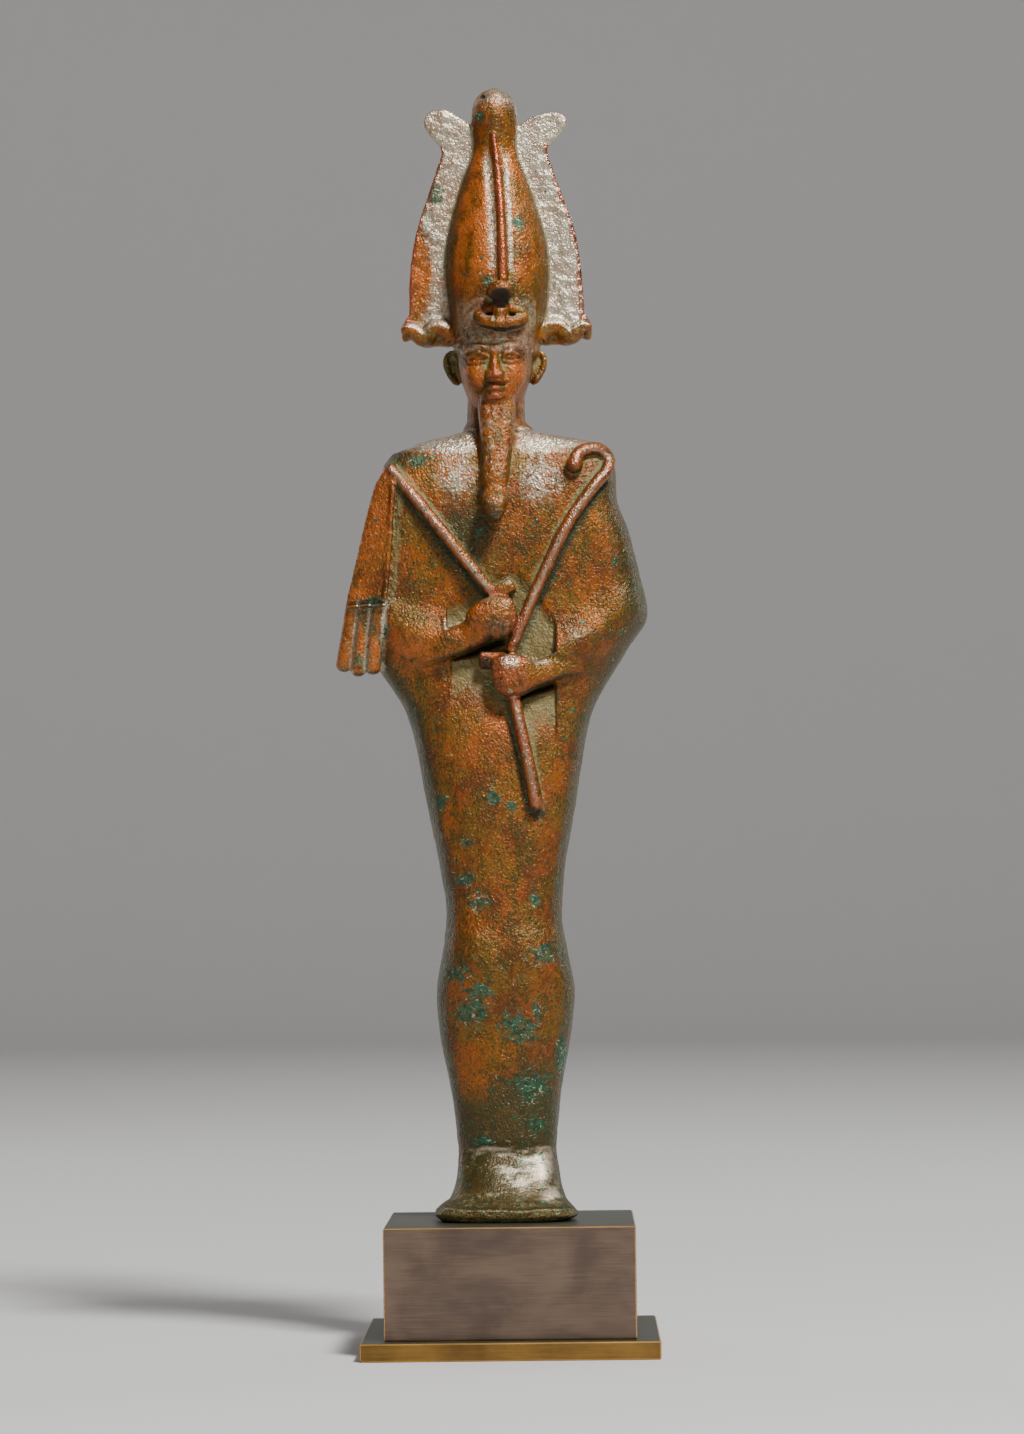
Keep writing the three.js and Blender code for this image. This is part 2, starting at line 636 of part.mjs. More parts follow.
const plateWidth = blockWidth + 2 * plateStep;
const plateDepth = blockDepth + 2 * plateStep;
const plate = new THREE.Mesh(standGeometry(plateWidth, plateDepth, plateHeight), brass);
plate.name = 'base_plate';

const block = new THREE.Mesh(standGeometry(blockWidth, blockDepth, blockHeight), darkBrass);
block.name = 'plinth_block';
block.position.z = plateHeight;

const figure = new THREE.Mesh(figureGeometry(), bronze);
figure.name = 'osiris_figure';
figure.position.set(figureShift, 0, plateHeight + blockHeight);

const object = new THREE.Group();
object.add(plate, block, figure);

export default object;
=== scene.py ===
# A cast bronze figure of a wrapped standing deity in a tall plumed crown, on a stepped brass stand.
# The figure is cast here as one fine mesh over its solid; the block and the plate keep their solids.
import math

import bmesh
import bpy
import numpy as np
from mathutils import Matrix, Vector


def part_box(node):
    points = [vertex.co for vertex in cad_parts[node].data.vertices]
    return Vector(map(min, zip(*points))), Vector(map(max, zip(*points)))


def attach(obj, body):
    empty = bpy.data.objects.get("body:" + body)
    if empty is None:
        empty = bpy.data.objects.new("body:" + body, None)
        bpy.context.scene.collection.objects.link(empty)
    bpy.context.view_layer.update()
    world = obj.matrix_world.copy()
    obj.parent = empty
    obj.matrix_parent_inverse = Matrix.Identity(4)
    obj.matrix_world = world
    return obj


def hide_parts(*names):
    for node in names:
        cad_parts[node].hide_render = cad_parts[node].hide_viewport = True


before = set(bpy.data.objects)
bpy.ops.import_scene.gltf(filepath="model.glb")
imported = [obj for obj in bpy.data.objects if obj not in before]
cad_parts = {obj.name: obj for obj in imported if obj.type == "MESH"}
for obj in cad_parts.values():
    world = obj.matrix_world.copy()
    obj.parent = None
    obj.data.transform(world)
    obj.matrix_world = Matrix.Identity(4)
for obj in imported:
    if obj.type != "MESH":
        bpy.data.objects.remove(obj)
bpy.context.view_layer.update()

FIGURE_LOW, FIGURE_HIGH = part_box("osiris_figure")
BLOCK_LOW, BLOCK_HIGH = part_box("plinth_block")
PLATE_LOW, PLATE_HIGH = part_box("base_plate")

# The figure is laid out on equal parts up its height, its middle line a little left of the block's.
# Every size of the figure below is in parts: x across, h up from the sole, y back from the middle.
HEIGHT_IN_PARTS = 254
PART = (FIGURE_HIGH.z - FIGURE_LOW.z) / HEIGHT_IN_PARTS
FIGURE_SHIFT = -0.0009
FOOT = np.array([FIGURE_SHIFT, 0.0, BLOCK_HIGH.z])

# Feet and body: height, left and right half widths, front, back, the depth where the section is
# widest, and how square it is
BODY_ROWS = [
    (0, 14.0, 13.2, -14.4, 12.4, -6.5, 2.5),
    (0.9, 15.5, 15.9, -15.4, 13.2, -7.0, 2.5),
    (2.1, 15.9, 15.8, -15.7, 13.3, -7.0, 2.5),
    (3.1, 15.4, 14.8, -15.3, 13.3, -7.0, 2.5),
    (4.8, 12.6, 13.3, -12.6, 13.0, -5.0, 2.4),
    (9.1, 11.1, 12.1, -8.9, 12.5, -1.0, 2.4),
    (16.0, 10.6, 11.3, -5.0, 11.8, 2.5, 2.4),
    (16.9, 10.7, 11.4, -5.4, 11.9, 2.5, 2.3),
    (27.0, 11.9, 12.3, -5.9, 12.4, 2.8, 2.3),
    (41.0, 14.5, 14.8, -7.4, 12.8, 2.5, 2.3),
    (50.5, 15.1, 15.8, -8.8, 12.5, 2.0, 2.3),
    (59.5, 13.7, 14.3, -9.3, 10.9, 1.2, 2.3),
    (68.0, 12.7, 13.1, -8.9, 10.1, 0.8, 2.3),
    (77.0, 13.8, 13.8, -9.2, 10.8, 0.8, 2.3),
    (91.5, 16.6, 16.4, -9.8, 12.2, 1.0, 2.3),
    (105.0, 19.0, 18.6, -9.9, 12.3, 1.0, 2.4),
    (113.0, 21.2, 20.5, -9.5, 11.6, 1.2, 2.4),
    (120.5, 25.6, 24.6, -8.8, 10.8, 1.4, 2.4),
    (127.5, 30.2, 29.0, -8.4, 10.2, 1.6, 2.5),
    (134.6, 33.2, 33.2, -8.6, 10.0, 1.8, 2.6),
    (144.0, 31.6, 31.4, -9.4, 10.6, 1.6, 2.7),
    (153.5, 29.2, 29.1, -10.2, 11.2, 1.4, 3.0),
    (161.0, 26.8, 26.5, -10.2, 11.2, 1.2, 3.3),
    (167.0, 26.2, 26.4, -9.5, 10.6, 1.0, 3.5),
    (170.6, 24.4, 25.4, -8.6, 9.8, 1.0, 3.4),
    (172.8, 20.6, 23.0, -7.6, 9.0, 1.0, 3.0),
    (174.6, 13.6, 17.6, -6.6, 8.2, 1.0, 2.6),
    (175.8, 8.4, 9.2, -5.9, 7.4, 0.9, 2.2),
    (178.0, 6.8, 6.2, -5.4, 6.8, 0.8, 2.0),
    (188.0, 6.7, 6.1, -5.4, 6.6, 0.6, 2.0),
]

# Soft swellings on the front of the body: two ends, radius and how far it stands out
SWELLINGS = [
    ((29, 135), (14, 126), 7.5, 1.8),
    ((-29, 134), (-13, 128), 7.5, 1.8),
    ((23, 162), (28, 140), 7.0, 0.7),
    ((-22, 162), (-27, 140), 7.0, 0.7),
    ((6.4, 60), (6.4, 54), 6.5, 0.7),
    ((-6.2, 60), (-6.2, 54), 6.5, 0.7),
]

# The sleeves' edges around the two forearms, given alike
SLEEVES = [
    ((-19, 130), (-12.5, 129.3), 7.5, 1.3),
    ((20, 127), (14, 125.4), 8.0, 1.4),
]

# Head: height, half width, front, back and squareness
HEAD_SHIFT = -0.35
HEAD_ROWS = [
    (179.6, 3.2, -6.4, 3.0, 2.0),
    (181.4, 4.6, -9.4, 4.4, 2.2),
    (183.2, 6.0, -9.9, 5.6, 2.3),
    (186.4, 7.3, -9.6, 6.8, 2.4),
    (190.6, 8.3, -9.7, 7.8, 2.4),
    (194.6, 8.5, -10.1, 8.4, 2.3),
    (199.0, 8.2, -8.6, 8.4, 2.2),
]

# Ears: the rim's points around the ear's middle, and the middle's place
EAR_RIM = [
    (-1.3, 2.2), (-0.5, 3.5), (0.7, 3.7), (1.7, 2.8), (1.9, 1.3), (1.4, -0.4), (0.4, -2.1), (-0.6, -3.3),
]
EAR_HEIGHT = 190.4
LEFT_EAR, RIGHT_EAR = -9.6, 8.8

# A plain face on the usual canon: a brow under the crown's rim, then equal thirds to nose and chin
FACE_TOP = 195.2
FACE_LENGTH = 13.4
BROW = FACE_TOP - 0.1 * FACE_LENGTH
EYE = FACE_TOP - 0.25 * FACE_LENGTH
NOSE = FACE_TOP - 0.56 * FACE_LENGTH
MOUTH = FACE_TOP - 0.71 * FACE_LENGTH
CHIN = FACE_TOP - 0.9 * FACE_LENGTH
EYE_OFFSET = 3.6
BROW_LINE = [(1.3, BROW - 0.1), (3.4, BROW + 0.4), (5.4, BROW + 0.05), (7.0, BROW - 1.1)]
UPPER_LID = [(1.2, EYE - 0.4), (2.2, EYE + 0.7), (3.5, EYE + 1.15), (4.9, EYE + 0.75), (6.5, EYE - 0.2)]
LOWER_LID = [(1.3, EYE - 0.5), (2.4, EYE - 1.05), (3.7, EYE - 1.2), (5.0, EYE - 0.9), (6.2, EYE - 0.3)]
LIP_LINE = [
    (-3.1, MOUTH + 0.3), (-1.5, MOUTH - 0.05), (0, MOUTH + 0.05), (1.5, MOUTH - 0.05), (3.1, MOUTH + 0.3),
]

# Crown: height, left and right half widths, front, back
CROWN_ROWS = [
    (194.7, 8.7, 8.6, -9.6, 8.6),
    (195.5, 9.1, 9.0, -10.7, 9.2),
    (197.0, 9.5, 9.5, -10.9, 9.8),
    (199.4, 9.9, 10.1, -10.6, 10.3),
    (205.2, 10.7, 11.4, -10.3, 11.2),
    (212.0, 11.3, 12.1, -9.9, 11.7),
    (217.0, 11.1, 11.9, -9.3, 11.6),
    (223.0, 10.1, 10.6, -8.3, 10.9),
    (229.0, 8.6, 8.8, -6.9, 9.7),
    (234.5, 6.7, 6.9, -5.2, 8.1),
    (240.6, 4.8, 5.1, -3.6, 6.7),
    (244.0, 5.0, 5.2, -3.8, 6.7),
    (247.4, 5.4, 5.4, -4.1, 6.7),
    (250.6, 4.7, 4.7, -3.5, 6.0),
    (252.8, 3.1, 3.1, -2.0, 4.5),
    (254.0, 0.9, 0.9, 0.2, 2.4),
]
CROWN_MIDDLE = 1.2
RIM_DROP = 8.5
RIM_DROP_END = 214
RIM_TURN = 0.67

# Plumes
PLUME_THICKNESS = 3.0
PLUME_BEVEL = 0.55
PLUME_MIDDLE = 1.6
PLUME_ROOT = 3.5
LEFT_CURL = [(4.4, 244.6), (8.2, 247.8), (11.4, 249.3), (14.8, 248.6), (16.0, 246.5), (14.6, 243.6)]
RIGHT_CURL = [(4.4, 244.4), (8.8, 247.5), (12.4, 248.4), (15.4, 247.9), (16.5, 246.3), (14.8, 243.5)]
PLUME_EDGE = [
    (12.1, 240.6), (13.5, 234.6), (15.4, 229.2), (17.2, 224), (18.6, 218.2), (19.4, 211.5), (19.7, 203),
]
HORN_EDGE = [
    (20.8, 201.3), (21.4, 199.2), (20.9, 196.9), (18.8, 197.3), (16.3, 195.6), (13.4, 195.8), (11.0, 195.6),
]
HORN_RIDGE = [
    (9.4, 197.2), (11.6, 199.4), (14.0, 199.6), (16.4, 197.4), (18.6, 199.0), (19.8, 199.4), (20.2, 198.2),
]

# Small cobra on the crown's front
COBRA_MIDDLE = 1.2
COBRA_HEAD = 205.7
COBRA_COIL = 200.9
TAIL = [(1.7, 209), (1.5, 222), (0.8, 234), (-0.2, 243)]

# Beard: middle across, depth, height, half width, half depth
BEARD_ROWS = [
    (0.05, -6.0, 184.0, 3.6, 2.6),
    (0.05, -6.6, 181.6, 4.2, 3.4),
    (-0.05, -8.0, 175.5, 3.75, 3.7),
    (-0.2, -9.6, 169.5, 3.2, 3.4),
    (-0.35, -11.3, 165.0, 2.95, 3.0),
    (-0.42, -12.1, 162.2, 2.5, 2.3),
    (-0.45, -14.0, 159.6, 3.0, 3.3),
    (-0.5, -14.6, 157.6, 2.5, 2.9),
    (-0.5, -14.8, 156.0, 1.8, 2.0),
    (-0.5, -15.0, 154.7, 0.5, 0.5),
]

# Crook and flail: the crook from its free end, with CROOK_BEND points in its hook, its staff below the
# fist and the flail's rod; the panel's height, inner and outer edge; each strand's place across at its
# top and foot, its lower end and its depth there
CROOK = [
    (17.1, 167.6), (17.9, 169.9), (20.4, 171.3), (23.0, 171.1), (24.8, 169.3), (24.6, 166.8), (22.4, 164.0),
    (18.0, 158.2), (14.6, 152.8), (11.0, 145.4), (7.6, 138.4), (4.6, 131.4), (2.4, 126.0),
]
CROOK_BEND = 6
STAFF = [(2.6, 119), (3.6, 113.6), (5.9, 102.4), (8.0, 91.1)]
FLAIL_ROD = [(-24.2, 167.9), (-13.2, 154.0), (-2.0, 139.8)]
PANEL_ROWS = [
    (136.6, -25.2, -34.1),
    (145.0, -24.4, -32.4),
    (154.1, -23.7, -30.1),
    (163.7, -23.2, -27.4),
    (167.6, -23.6, -25.6),
]
PANEL_LIFT = 1.5
PANEL_SLOPE = 0.34
PANEL_THICKNESS = 3.4
STRAND_TOP = 138.2
STRAND_LEAN = 2.1
STRANDS = [(-32.6, -35.2, 122.4, -1.9), (-29.9, -31.9, 121.3, -3.1), (-27.1, -28.6, 121.6, -4.2)]

# Hands: place across and up, lift of the middle off the body, half height and half depth
UPPER_HAND = [
    (-19.0, 126.2, -3.8, 4.6, 3.2),
    (-13.0, 127.6, -1.6, 3.6, 3.1),
    (-10.2, 128.4, -0.5, 3.3, 2.9),
    (-7.4, 129.6, 0.4, 3.1, 2.9),
    (-5.0, 131.0, 1.2, 3.4, 3.1),
    (-3.2, 132.8, 1.8, 4.7, 3.3),
    (0.0, 133.6, 2.0, 5.0, 3.3),
    (1.8, 133.6, 1.8, 4.7, 3.0),
    (3.0, 133.4, 1.5, 2.8, 2.6),
    (3.9, 133.3, 1.2, 1.3, 2.0),
]
LOWER_HAND = [
    (19.0, 124.6, -3.8, 4.4, 3.2),
    (13.6, 123.2, -1.5, 3.2, 3.0),
    (11.0, 122.1, -0.3, 2.8, 2.8),
    (7.4, 120.9, 0.8, 2.9, 2.9),
    (5.0, 120.7, 1.6, 4.4, 3.3),
    (1.2, 120.7, 2.0, 4.9, 3.4),
    (-1.3, 120.3, 1.5, 3.7, 2.7),
]
UPPER_THUMB = [(-2.0, 138.4), (0.8, 139.8), (3.4, 141.2)]
LOWER_THUMB = [(1.0, 124.0), (-1.8, 124.2), (-4.5, 124.3)]
THUMB_LIFT = 0.9

# Share of a hand's length that rounds off the end of its fist
FIST_END = 0.04

# The casting: size of its melted mesh, rounds of softening and the triangles that are kept
CASTING_VOXEL = 0.00027
CASTING_ROUNDS = 4
CASTING_TRIANGLES = 196000


def curve_at(knots, values, tangents, at):
    """A smooth curve through values at knots, with the slopes that it has there."""
    i = np.clip(np.searchsorted(knots, at, side="right") - 1, 0, len(knots) - 2)
    span = (knots[i + 1] - knots[i])[:, None]
    t = (at - knots[i])[:, None] / span
    start = values[i] * (1 + 2 * t) * (1 - t) ** 2 + tangents[i] * span * t * (1 - t) ** 2
    end = values[i + 1] * (3 - 2 * t) * t**2 - tangents[i + 1] * span * (1 - t) * t**2
    return start + end


def value_at(rows, heights):
    """Every value after the height, at each height: smooth curves with no overshoot."""
    rows = np.array(rows, float)
    heights = np.atleast_1d(np.asarray(heights, float))
    knots, values = rows[:, 0], rows[:, 1:]
    slopes = np.diff(values, axis=0) / np.diff(knots)[:, None]
    agree = slopes[:-1] * slopes[1:]
    total = slopes[:-1] + slopes[1:]
    tangents = np.zeros_like(values)
    tangents[1:-1] = np.where(agree > 0, 2 * agree / np.where(agree > 0, total, 1), 0)
    return curve_at(knots, values, tangents, np.clip(heights, knots[0], knots[-1])).T


def run_of(points):
    """The length along a line of points up to each of them."""
    return np.concatenate([[0], np.cumsum(np.linalg.norm(np.diff(points, axis=0), axis=1))])


def half_width_at(rows, x, h):
    """The half width of the body or crown at each height, on the side where the point is."""
    left, right = value_at(rows, h)[:2]
    return np.where(x < 0, left, right)


def signed_power(value, power):
    return np.sign(value) * np.abs(value) ** power


def limit(value):
    return np.clip(value, 0, 1)


def hump(distance, reach):
    """A soft bump of height 1 that dies out at the reach."""
    return (1 - limit(np.abs(distance) / reach) ** 2) ** 2


def step(value, low, high):
    """0 below low, 1 above high and smooth between them."""
    t = limit((value - low) / (high - low))
    return t * t * (3 - 2 * t)


def rise_fall(value, low, high, top, end):
    """A smooth step up from low to high and down again from top to end."""
    return step(value, low, high) * (1 - step(value, top, end))


def within(value, low, high):
    """True between low and high."""
    return (value > low) & (value < high)


def rounded(near, reach, least=0.12):
    """How a round end narrows a limb within its reach, near being the share left to the end."""
    return np.maximum(np.sqrt(1 - (1 - limit(near / reach)) ** 2), least)


def reach_of(x, h, path):
    """Distance in the front plane from each point to a line of points, and how far along it is."""
    path = np.array(path, float)
    spans = np.linalg.norm(np.diff(path, axis=0), axis=1)
    before = np.concatenate([[0], np.cumsum(spans)])
    best, along = np.full(np.shape(x), 1e9), np.zeros(np.shape(x))
    for i, span in enumerate(spans):
        direction = (path[i + 1] - path[i]) / span
        t = np.clip((x - path[i, 0]) * direction[0] + (h - path[i, 1]) * direction[1], 0, span)
        distance = np.hypot(x - path[i, 0] - t * direction[0], h - path[i, 1] - t * direction[1])
        along = np.where(distance < best, (before[i] + t) / before[-1], along)
        best = np.minimum(best, distance)
    return best, along


def smooth_path(points, shares):
    """Places and directions at shares of the length of a smooth curve through points."""
    points = np.array(points, float)
    lengths = run_of(points)
    edge_order = 2 if len(points) > 2 else 1
    tangents = np.gradient(points, lengths, axis=0, edge_order=edge_order)
    curve = curve_at(lengths, points, tangents, np.linspace(0, lengths[-1], 40 * len(points)))
    run = run_of(curve)
    wanted = np.asarray(shares) * run[-1]
    places, ways = (
        np.stack([np.interp(wanted, run, column) for column in line.T], 1)
        for line in (curve, np.gradient(curve, run, axis=0))
    )
    return places, ways / np.linalg.norm(ways, axis=1)[:, None]


def raised(rows, x, h):
    """How far soft swellings stand out, from their ends, radius and height."""
    return sum(height * hump(reach_of(x, h, ends)[0], radius) for *ends, radius, height in rows)


def body_front(x, h):
    left, right, front, _, middle, square = value_at(BODY_ROWS, h)
    share = limit(np.abs(x) / np.where(x < 0, left, right))
    return middle - (middle - front) * (1 - share**square) ** (1 / square) - raised(SWELLINGS, x, h)


def crown_front(x, h):
    left, right, front, _ = value_at(CROWN_ROWS, h)
    share = limit(np.abs(x) / np.where(x < 0, left, right))
    return CROWN_MIDDLE - (CROWN_MIDDLE - front) * np.sqrt(1 - share**2)


def on_surface(front, points, lift):
    """Points of a front view set on a surface and lifted off it."""
    x, h = np.array(points, float).T[:2]
    return np.stack([x, front(x, h) - lift, h], 1)


def noise(points, size, seed):
    """Smooth random values from -1 to 1 with features of about one size."""
    cells = 32
    table = np.random.default_rng(seed).uniform(-1, 1, (cells, cells, cells))
    scaled = points / size
    cell = np.floor(scaled).astype(int)
    t = scaled - cell
    t = t * t * (3 - 2 * t)
    total = np.zeros(len(points))
    for corner in np.ndindex(2, 2, 2):
        weight = np.prod(np.where(np.array(corner) == 1, t, 1 - t), axis=1)
        i, j, k = ((cell + corner) % cells).T
        total += weight * table[i, j, k]
    return total


def deselect():
    bpy.ops.object.select_all(action="DESELECT")


def points_of(piece, kind="co"):
    flat = np.empty(3 * len(piece.data.vertices))
    piece.data.vertices.foreach_get(kind, flat)
    return flat.reshape(-1, 3)


def set_points(piece, points):
    piece.data.vertices.foreach_set("co", np.ascontiguousarray(points, float).ravel())
    piece.data.update()


def to_parts(points):
    """Metres in the frame to figure parts, as x, y, h."""
    return (points - FOOT) / PART


def from_parts(points):
    return points * PART + FOOT


def pick_edges(piece, wanted):
    """Selects the edges whose span from end to end is a wanted one, in edit mode."""
    bpy.ops.mesh.select_mode(type="EDGE")
    bpy.ops.mesh.select_all(action="DESELECT")
    work = bmesh.from_edit_mesh(piece.data)
    for edge in work.edges:
        edge.select_set(wanted(edge.verts[0].co - edge.verts[1].co))
    bmesh.update_edit_mesh(piece.data)


def tube(sides, rings, shape):
    """A closed tube: a cylinder cut into rings, whose points shape() sets in parts. It gets each
    point's share up the tube, its direction across and away, and its radius, 0 in an end's middle."""
    deselect()
    bpy.ops.mesh.primitive_cylinder_add(vertices=sides, radius=1, depth=1, end_fill_type="TRIFAN")
    piece = bpy.context.object
    bpy.ops.object.mode_set(mode="EDIT")
    pick_edges(piece, lambda span: abs(span.z) > 0.5)
    bpy.ops.mesh.subdivide(number_cuts=rings - 1)
    bpy.ops.object.mode_set(mode="OBJECT")
    x, y, z = points_of(piece).T
    set_points(piece, from_parts(shape(z + 0.5, x, y, np.round(np.hypot(x, y)))))
    return piece


def limb(path, sides, rings, sizes, square=2.0):
    """A tube along a path: sizes(share) gives its half width in the front plane and half depth."""

    def shape(share, across, away, radius):
        share = 0.5 - 0.5 * np.cos(np.pi * share)
        centre, along = smooth_path(path, share)
        side = np.cross([0.0, 1.0, 0.0], along)
        side /= np.linalg.norm(side, axis=1)[:, None]
        behind = np.cross(along, side)
        half_width, half_depth = sizes(share)
        across = signed_power(across, 2 / square) * half_width * radius
        away = signed_power(away, 2 / square) * half_depth * radius
        return centre + side * across[:, None] + behind * away[:, None]

    return tube(sides, rings, shape)


def taper(start, end, round_start=0.0, round_end=0.0):
    """Sizes of a limb that tapers, with round ends within shares of its length."""

    def sizes(share):
        size = start + (end - start) * share
        for reach, near in ((round_start, share), (round_end, 1 - share)):
            if reach > 0:
                size = size * rounded(near, reach)
        return size, size

    return sizes


def ball(size, turn, at):
    """An oval ball, turned in the front plane."""
    deselect()
    bpy.ops.mesh.primitive_uv_sphere_add(segments=32, ring_count=20, radius=1)
    piece = bpy.context.object
    x, y, z = (points_of(piece) * np.array(size)).T
    cos, sin = math.cos(turn), math.sin(turn)
    turned = np.stack([x * cos + z * sin, y, z * cos - x * sin], 1)
    set_points(piece, from_parts(turned + np.array(at)))
    return piece


def make_body():
    def shape(share, across, away, radius):
        h = BODY_ROWS[-1][0] * share**1.3
        left, right, front, back, middle, square = value_at(BODY_ROWS, h)
        x = signed_power(across, 2 / square) * np.where(across < 0, left, right)
        reach = np.where(away < 0, middle - front, back - middle)
        swelling = (raised(SWELLINGS, x, h) + raised(SLEEVES, x, h)) * limit(-2 * away)
        y = middle + (signed_power(away, 2 / square) * reach - swelling) * radius
        return np.stack([x * radius, y, h], 1)

    return tube(120, 220, shape)


def make_head():
    def shape(share, across, away, radius):
        h = HEAD_ROWS[0][0] + (HEAD_ROWS[-1][0] - HEAD_ROWS[0][0]) * share
        half, front, back, square = value_at(HEAD_ROWS, h)
        turn = np.arctan2(across, -away)
        forward = turn - 0.5 * np.sin(turn)
        x = signed_power(np.sin(forward), 2 / square) * half
        depth = -signed_power(np.cos(forward), 2 / square)
        y = np.where(depth < 0, -depth * front, depth * back)
        return np.stack([HEAD_SHIFT + x * radius, y * radius, h], 1)

    return tube(72, 48, shape)


def make_crown():
    def shape(share, across, away, radius):
        first, last = CROWN_ROWS[0][0], CROWN_ROWS[-1][0]
        h = first + (last - first) * np.sin(np.pi / 2 * share) ** 1.2
        left, right, front, back = value_at(CROWN_ROWS, h)
        x = across * np.where(across < 0, left, right)
        reach = np.where(away < 0, CROWN_MIDDLE - front, back - CROWN_MIDDLE)
        fade = limit((RIM_DROP_END - h) / (RIM_DROP_END - first))
        drop = RIM_DROP * fade * limit((away + RIM_TURN) / (2 * RIM_TURN)) ** 1.5
        return np.stack([x * radius, CROWN_MIDDLE + away * reach * radius, h - drop * radius], 1)

    return tube(96, 150, shape)


def make_plume(side, curl):
    """A plume: a disc's rim moved onto the outline, then extruded to its thickness and bevelled."""
    top, _ = smooth_path(curl + PLUME_EDGE, np.linspace(0, 1, 90))
    foot, _ = smooth_path([PLUME_EDGE[-1]] + HORN_EDGE, np.linspace(0, 1, 50)[1:])
    outline = np.vstack([[(PLUME_ROOT, 200)], top, foot, [(PLUME_ROOT, 197)]])
    deselect()
    bpy.ops.mesh.primitive_circle_add(vertices=len(outline), radius=1, fill_type="NGON")
    piece = bpy.context.object
    front = PLUME_MIDDLE - PLUME_THICKNESS / 2
    places = np.stack([outline[:, 0] * side, np.full(len(outline), front), outline[:, 1]], 1)
    set_points(piece, from_parts(places))
    bpy.ops.object.mode_set(mode="EDIT")
    bpy.ops.mesh.select_all(action="SELECT")
    way = {"value": (0, PLUME_THICKNESS * PART, 0)}
    bpy.ops.mesh.extrude_region_move(TRANSFORM_OT_translate=way)
    pick_edges(piece, lambda span: abs(span.y) < 1e-7)
    bpy.ops.mesh.bevel(offset=PLUME_BEVEL * PART, segments=2, affect="EDGES")
    bpy.ops.mesh.select_all(action="SELECT")
    bpy.ops.mesh.normals_make_consistent(inside=False)
    bpy.ops.object.mode_set(mode="OBJECT")
    return piece


def make_horn(side):
    depth = PLUME_MIDDLE - PLUME_THICKNESS / 2
    path = [(x * side, depth, h) for x, h in HORN_RIDGE]
    return limb(path, 16, 60, taper(2.1, 1.8, round_end=0.1))


def make_cobra():
    turns = np.linspace(0, 2 * math.pi, 33)
    coil_path = [(COBRA_MIDDLE + 5.0 * math.cos(turn), COBRA_COIL + 1.9 * math.sin(turn)) for turn in turns]
    coil = on_surface(crown_front, coil_path, 0.9 - 0.8 * np.sin(turns))
    neck = on_surface(crown_front, [(COBRA_MIDDLE, h) for h in (197.6, 200.5, COBRA_HEAD)], 1.3)
    head = on_surface(crown_front, [(COBRA_MIDDLE, COBRA_HEAD + 0.6)] * 2, 0.0)
    head[0] += (0, 0.2, 0.2)
    head[1] += (0, -5.4, -0.1)
    tail = on_surface(crown_front, TAIL, 0.2)

    def coil_sizes(share):
        size = 1.35 - 0.25 * np.sin(2 * math.pi * share)
        return size, size

    def head_sizes(share):
        round_end = rounded(1 - share, 0.25)
        return 2.9 * round_end, 2.2 * round_end

    return [
        limb(coil, 16, 80, coil_sizes),
        limb(neck, 20, 12, taper(1.8, 1.8)),
        limb(head, 24, 16, head_sizes),
        limb(tail, 12, 60, taper(1.1, 0.55)),
    ]


def make_beard():
    rows = np.array(BEARD_ROWS)[::-1]

    def shape(share, across, away, radius):
        places, _ = smooth_path(rows, share)
        x, y, h, half_width, half_depth = places.T
        side = signed_power(across, 0.7) * half_width * radius
        return np.stack([x + side, y + signed_power(away, 0.7) * half_depth * radius, h], 1)

    return tube(32, 60, shape)


def make_crook():
    path = on_surface(body_front, CROOK, 1.15)
    staff = on_surface(body_front, STAFF, 1.2)
    return [
        limb(path, 16, 160, taper(1.45, 1.25)),
        ball((1.95, 1.8, 1.95), 0, path[0]),
        limb(staff, 16, 40, taper(1.3, 1.65, round_end=0.04), square=2.4),
    ]


def on_panel(h, share, inset):
    inner, outer = value_at(PANEL_ROWS, h)
    x = inner + (outer - inner) * share
    face = body_front(inner, h) - PANEL_LIFT + PANEL_SLOPE * (inner - x)
    return np.stack([x, face + PANEL_THICKNESS * inset, h + 0 * x], 1)


def make_flail():
    def slab(share, across, away, radius):
        h = PANEL_ROWS[0][0] + (PANEL_ROWS[-1][0] - PANEL_ROWS[0][0]) * share
        across = 0.5 - 0.5 * signed_power(across, 0.35) * radius
        return on_panel(h, across, 0.5 + 0.5 * signed_power(away, 0.35) * radius)

    heights = np.array([row[0] for row in PANEL_ROWS])
    bead = on_panel(heights, 0.04, 0.1)
    rod = on_surface(body_front, FLAIL_ROD, 1.2)
    strands = []
    for top, bottom, end, depth in STRANDS:
        path = [(bottom, depth, end), (top, depth - STRAND_LEAN, STRAND_TOP)]
        strands.append(limb(path, 24, 40, taper(1.85, 1.5, round_start=0.1)))
    return [
        tube(48, 60, slab),
        limb(bead, 12, 50, taper(0.6, 0.6)),
        limb(rod, 16, 60, taper(1.35, 1.4)),
        *strands,
    ]


def make_hand(rows, thumb_path, thumb_sizes):
    """A bare forearm that ends in a closed fist, and its thumb."""
    rows = np.array(rows, float)
    arm = on_surface(body_front, rows, rows[:, 2])
    run = run_of(arm)

    def sizes(share):
        end = rounded(1 - share, FIST_END)
        return tuple(np.interp(share, run / run[-1], rows[:, k]) * end for k in (3, 4))

    thumb = on_surface(body_front, thumb_path, THUMB_LIFT)
    return [limb(arm, 40, 70, sizes, square=3.0), limb(thumb, 20, 20, thumb_sizes, square=3.6)]


def make_ear(side, x, h):
    """An ear: a leaning plate with a rim that runs round its top and back to the lobe."""
    plate = ball((1.45, 0.9, 3.7), side * 0.22, (x, 1.8, h))
    path = [(x + side * across, 1.1, h + up) for across, up in EAR_RIM]
    return [plate, limb(path, 12, 50, taper(0.6, 0.75, round_start=0.1, round_end=0.08))]


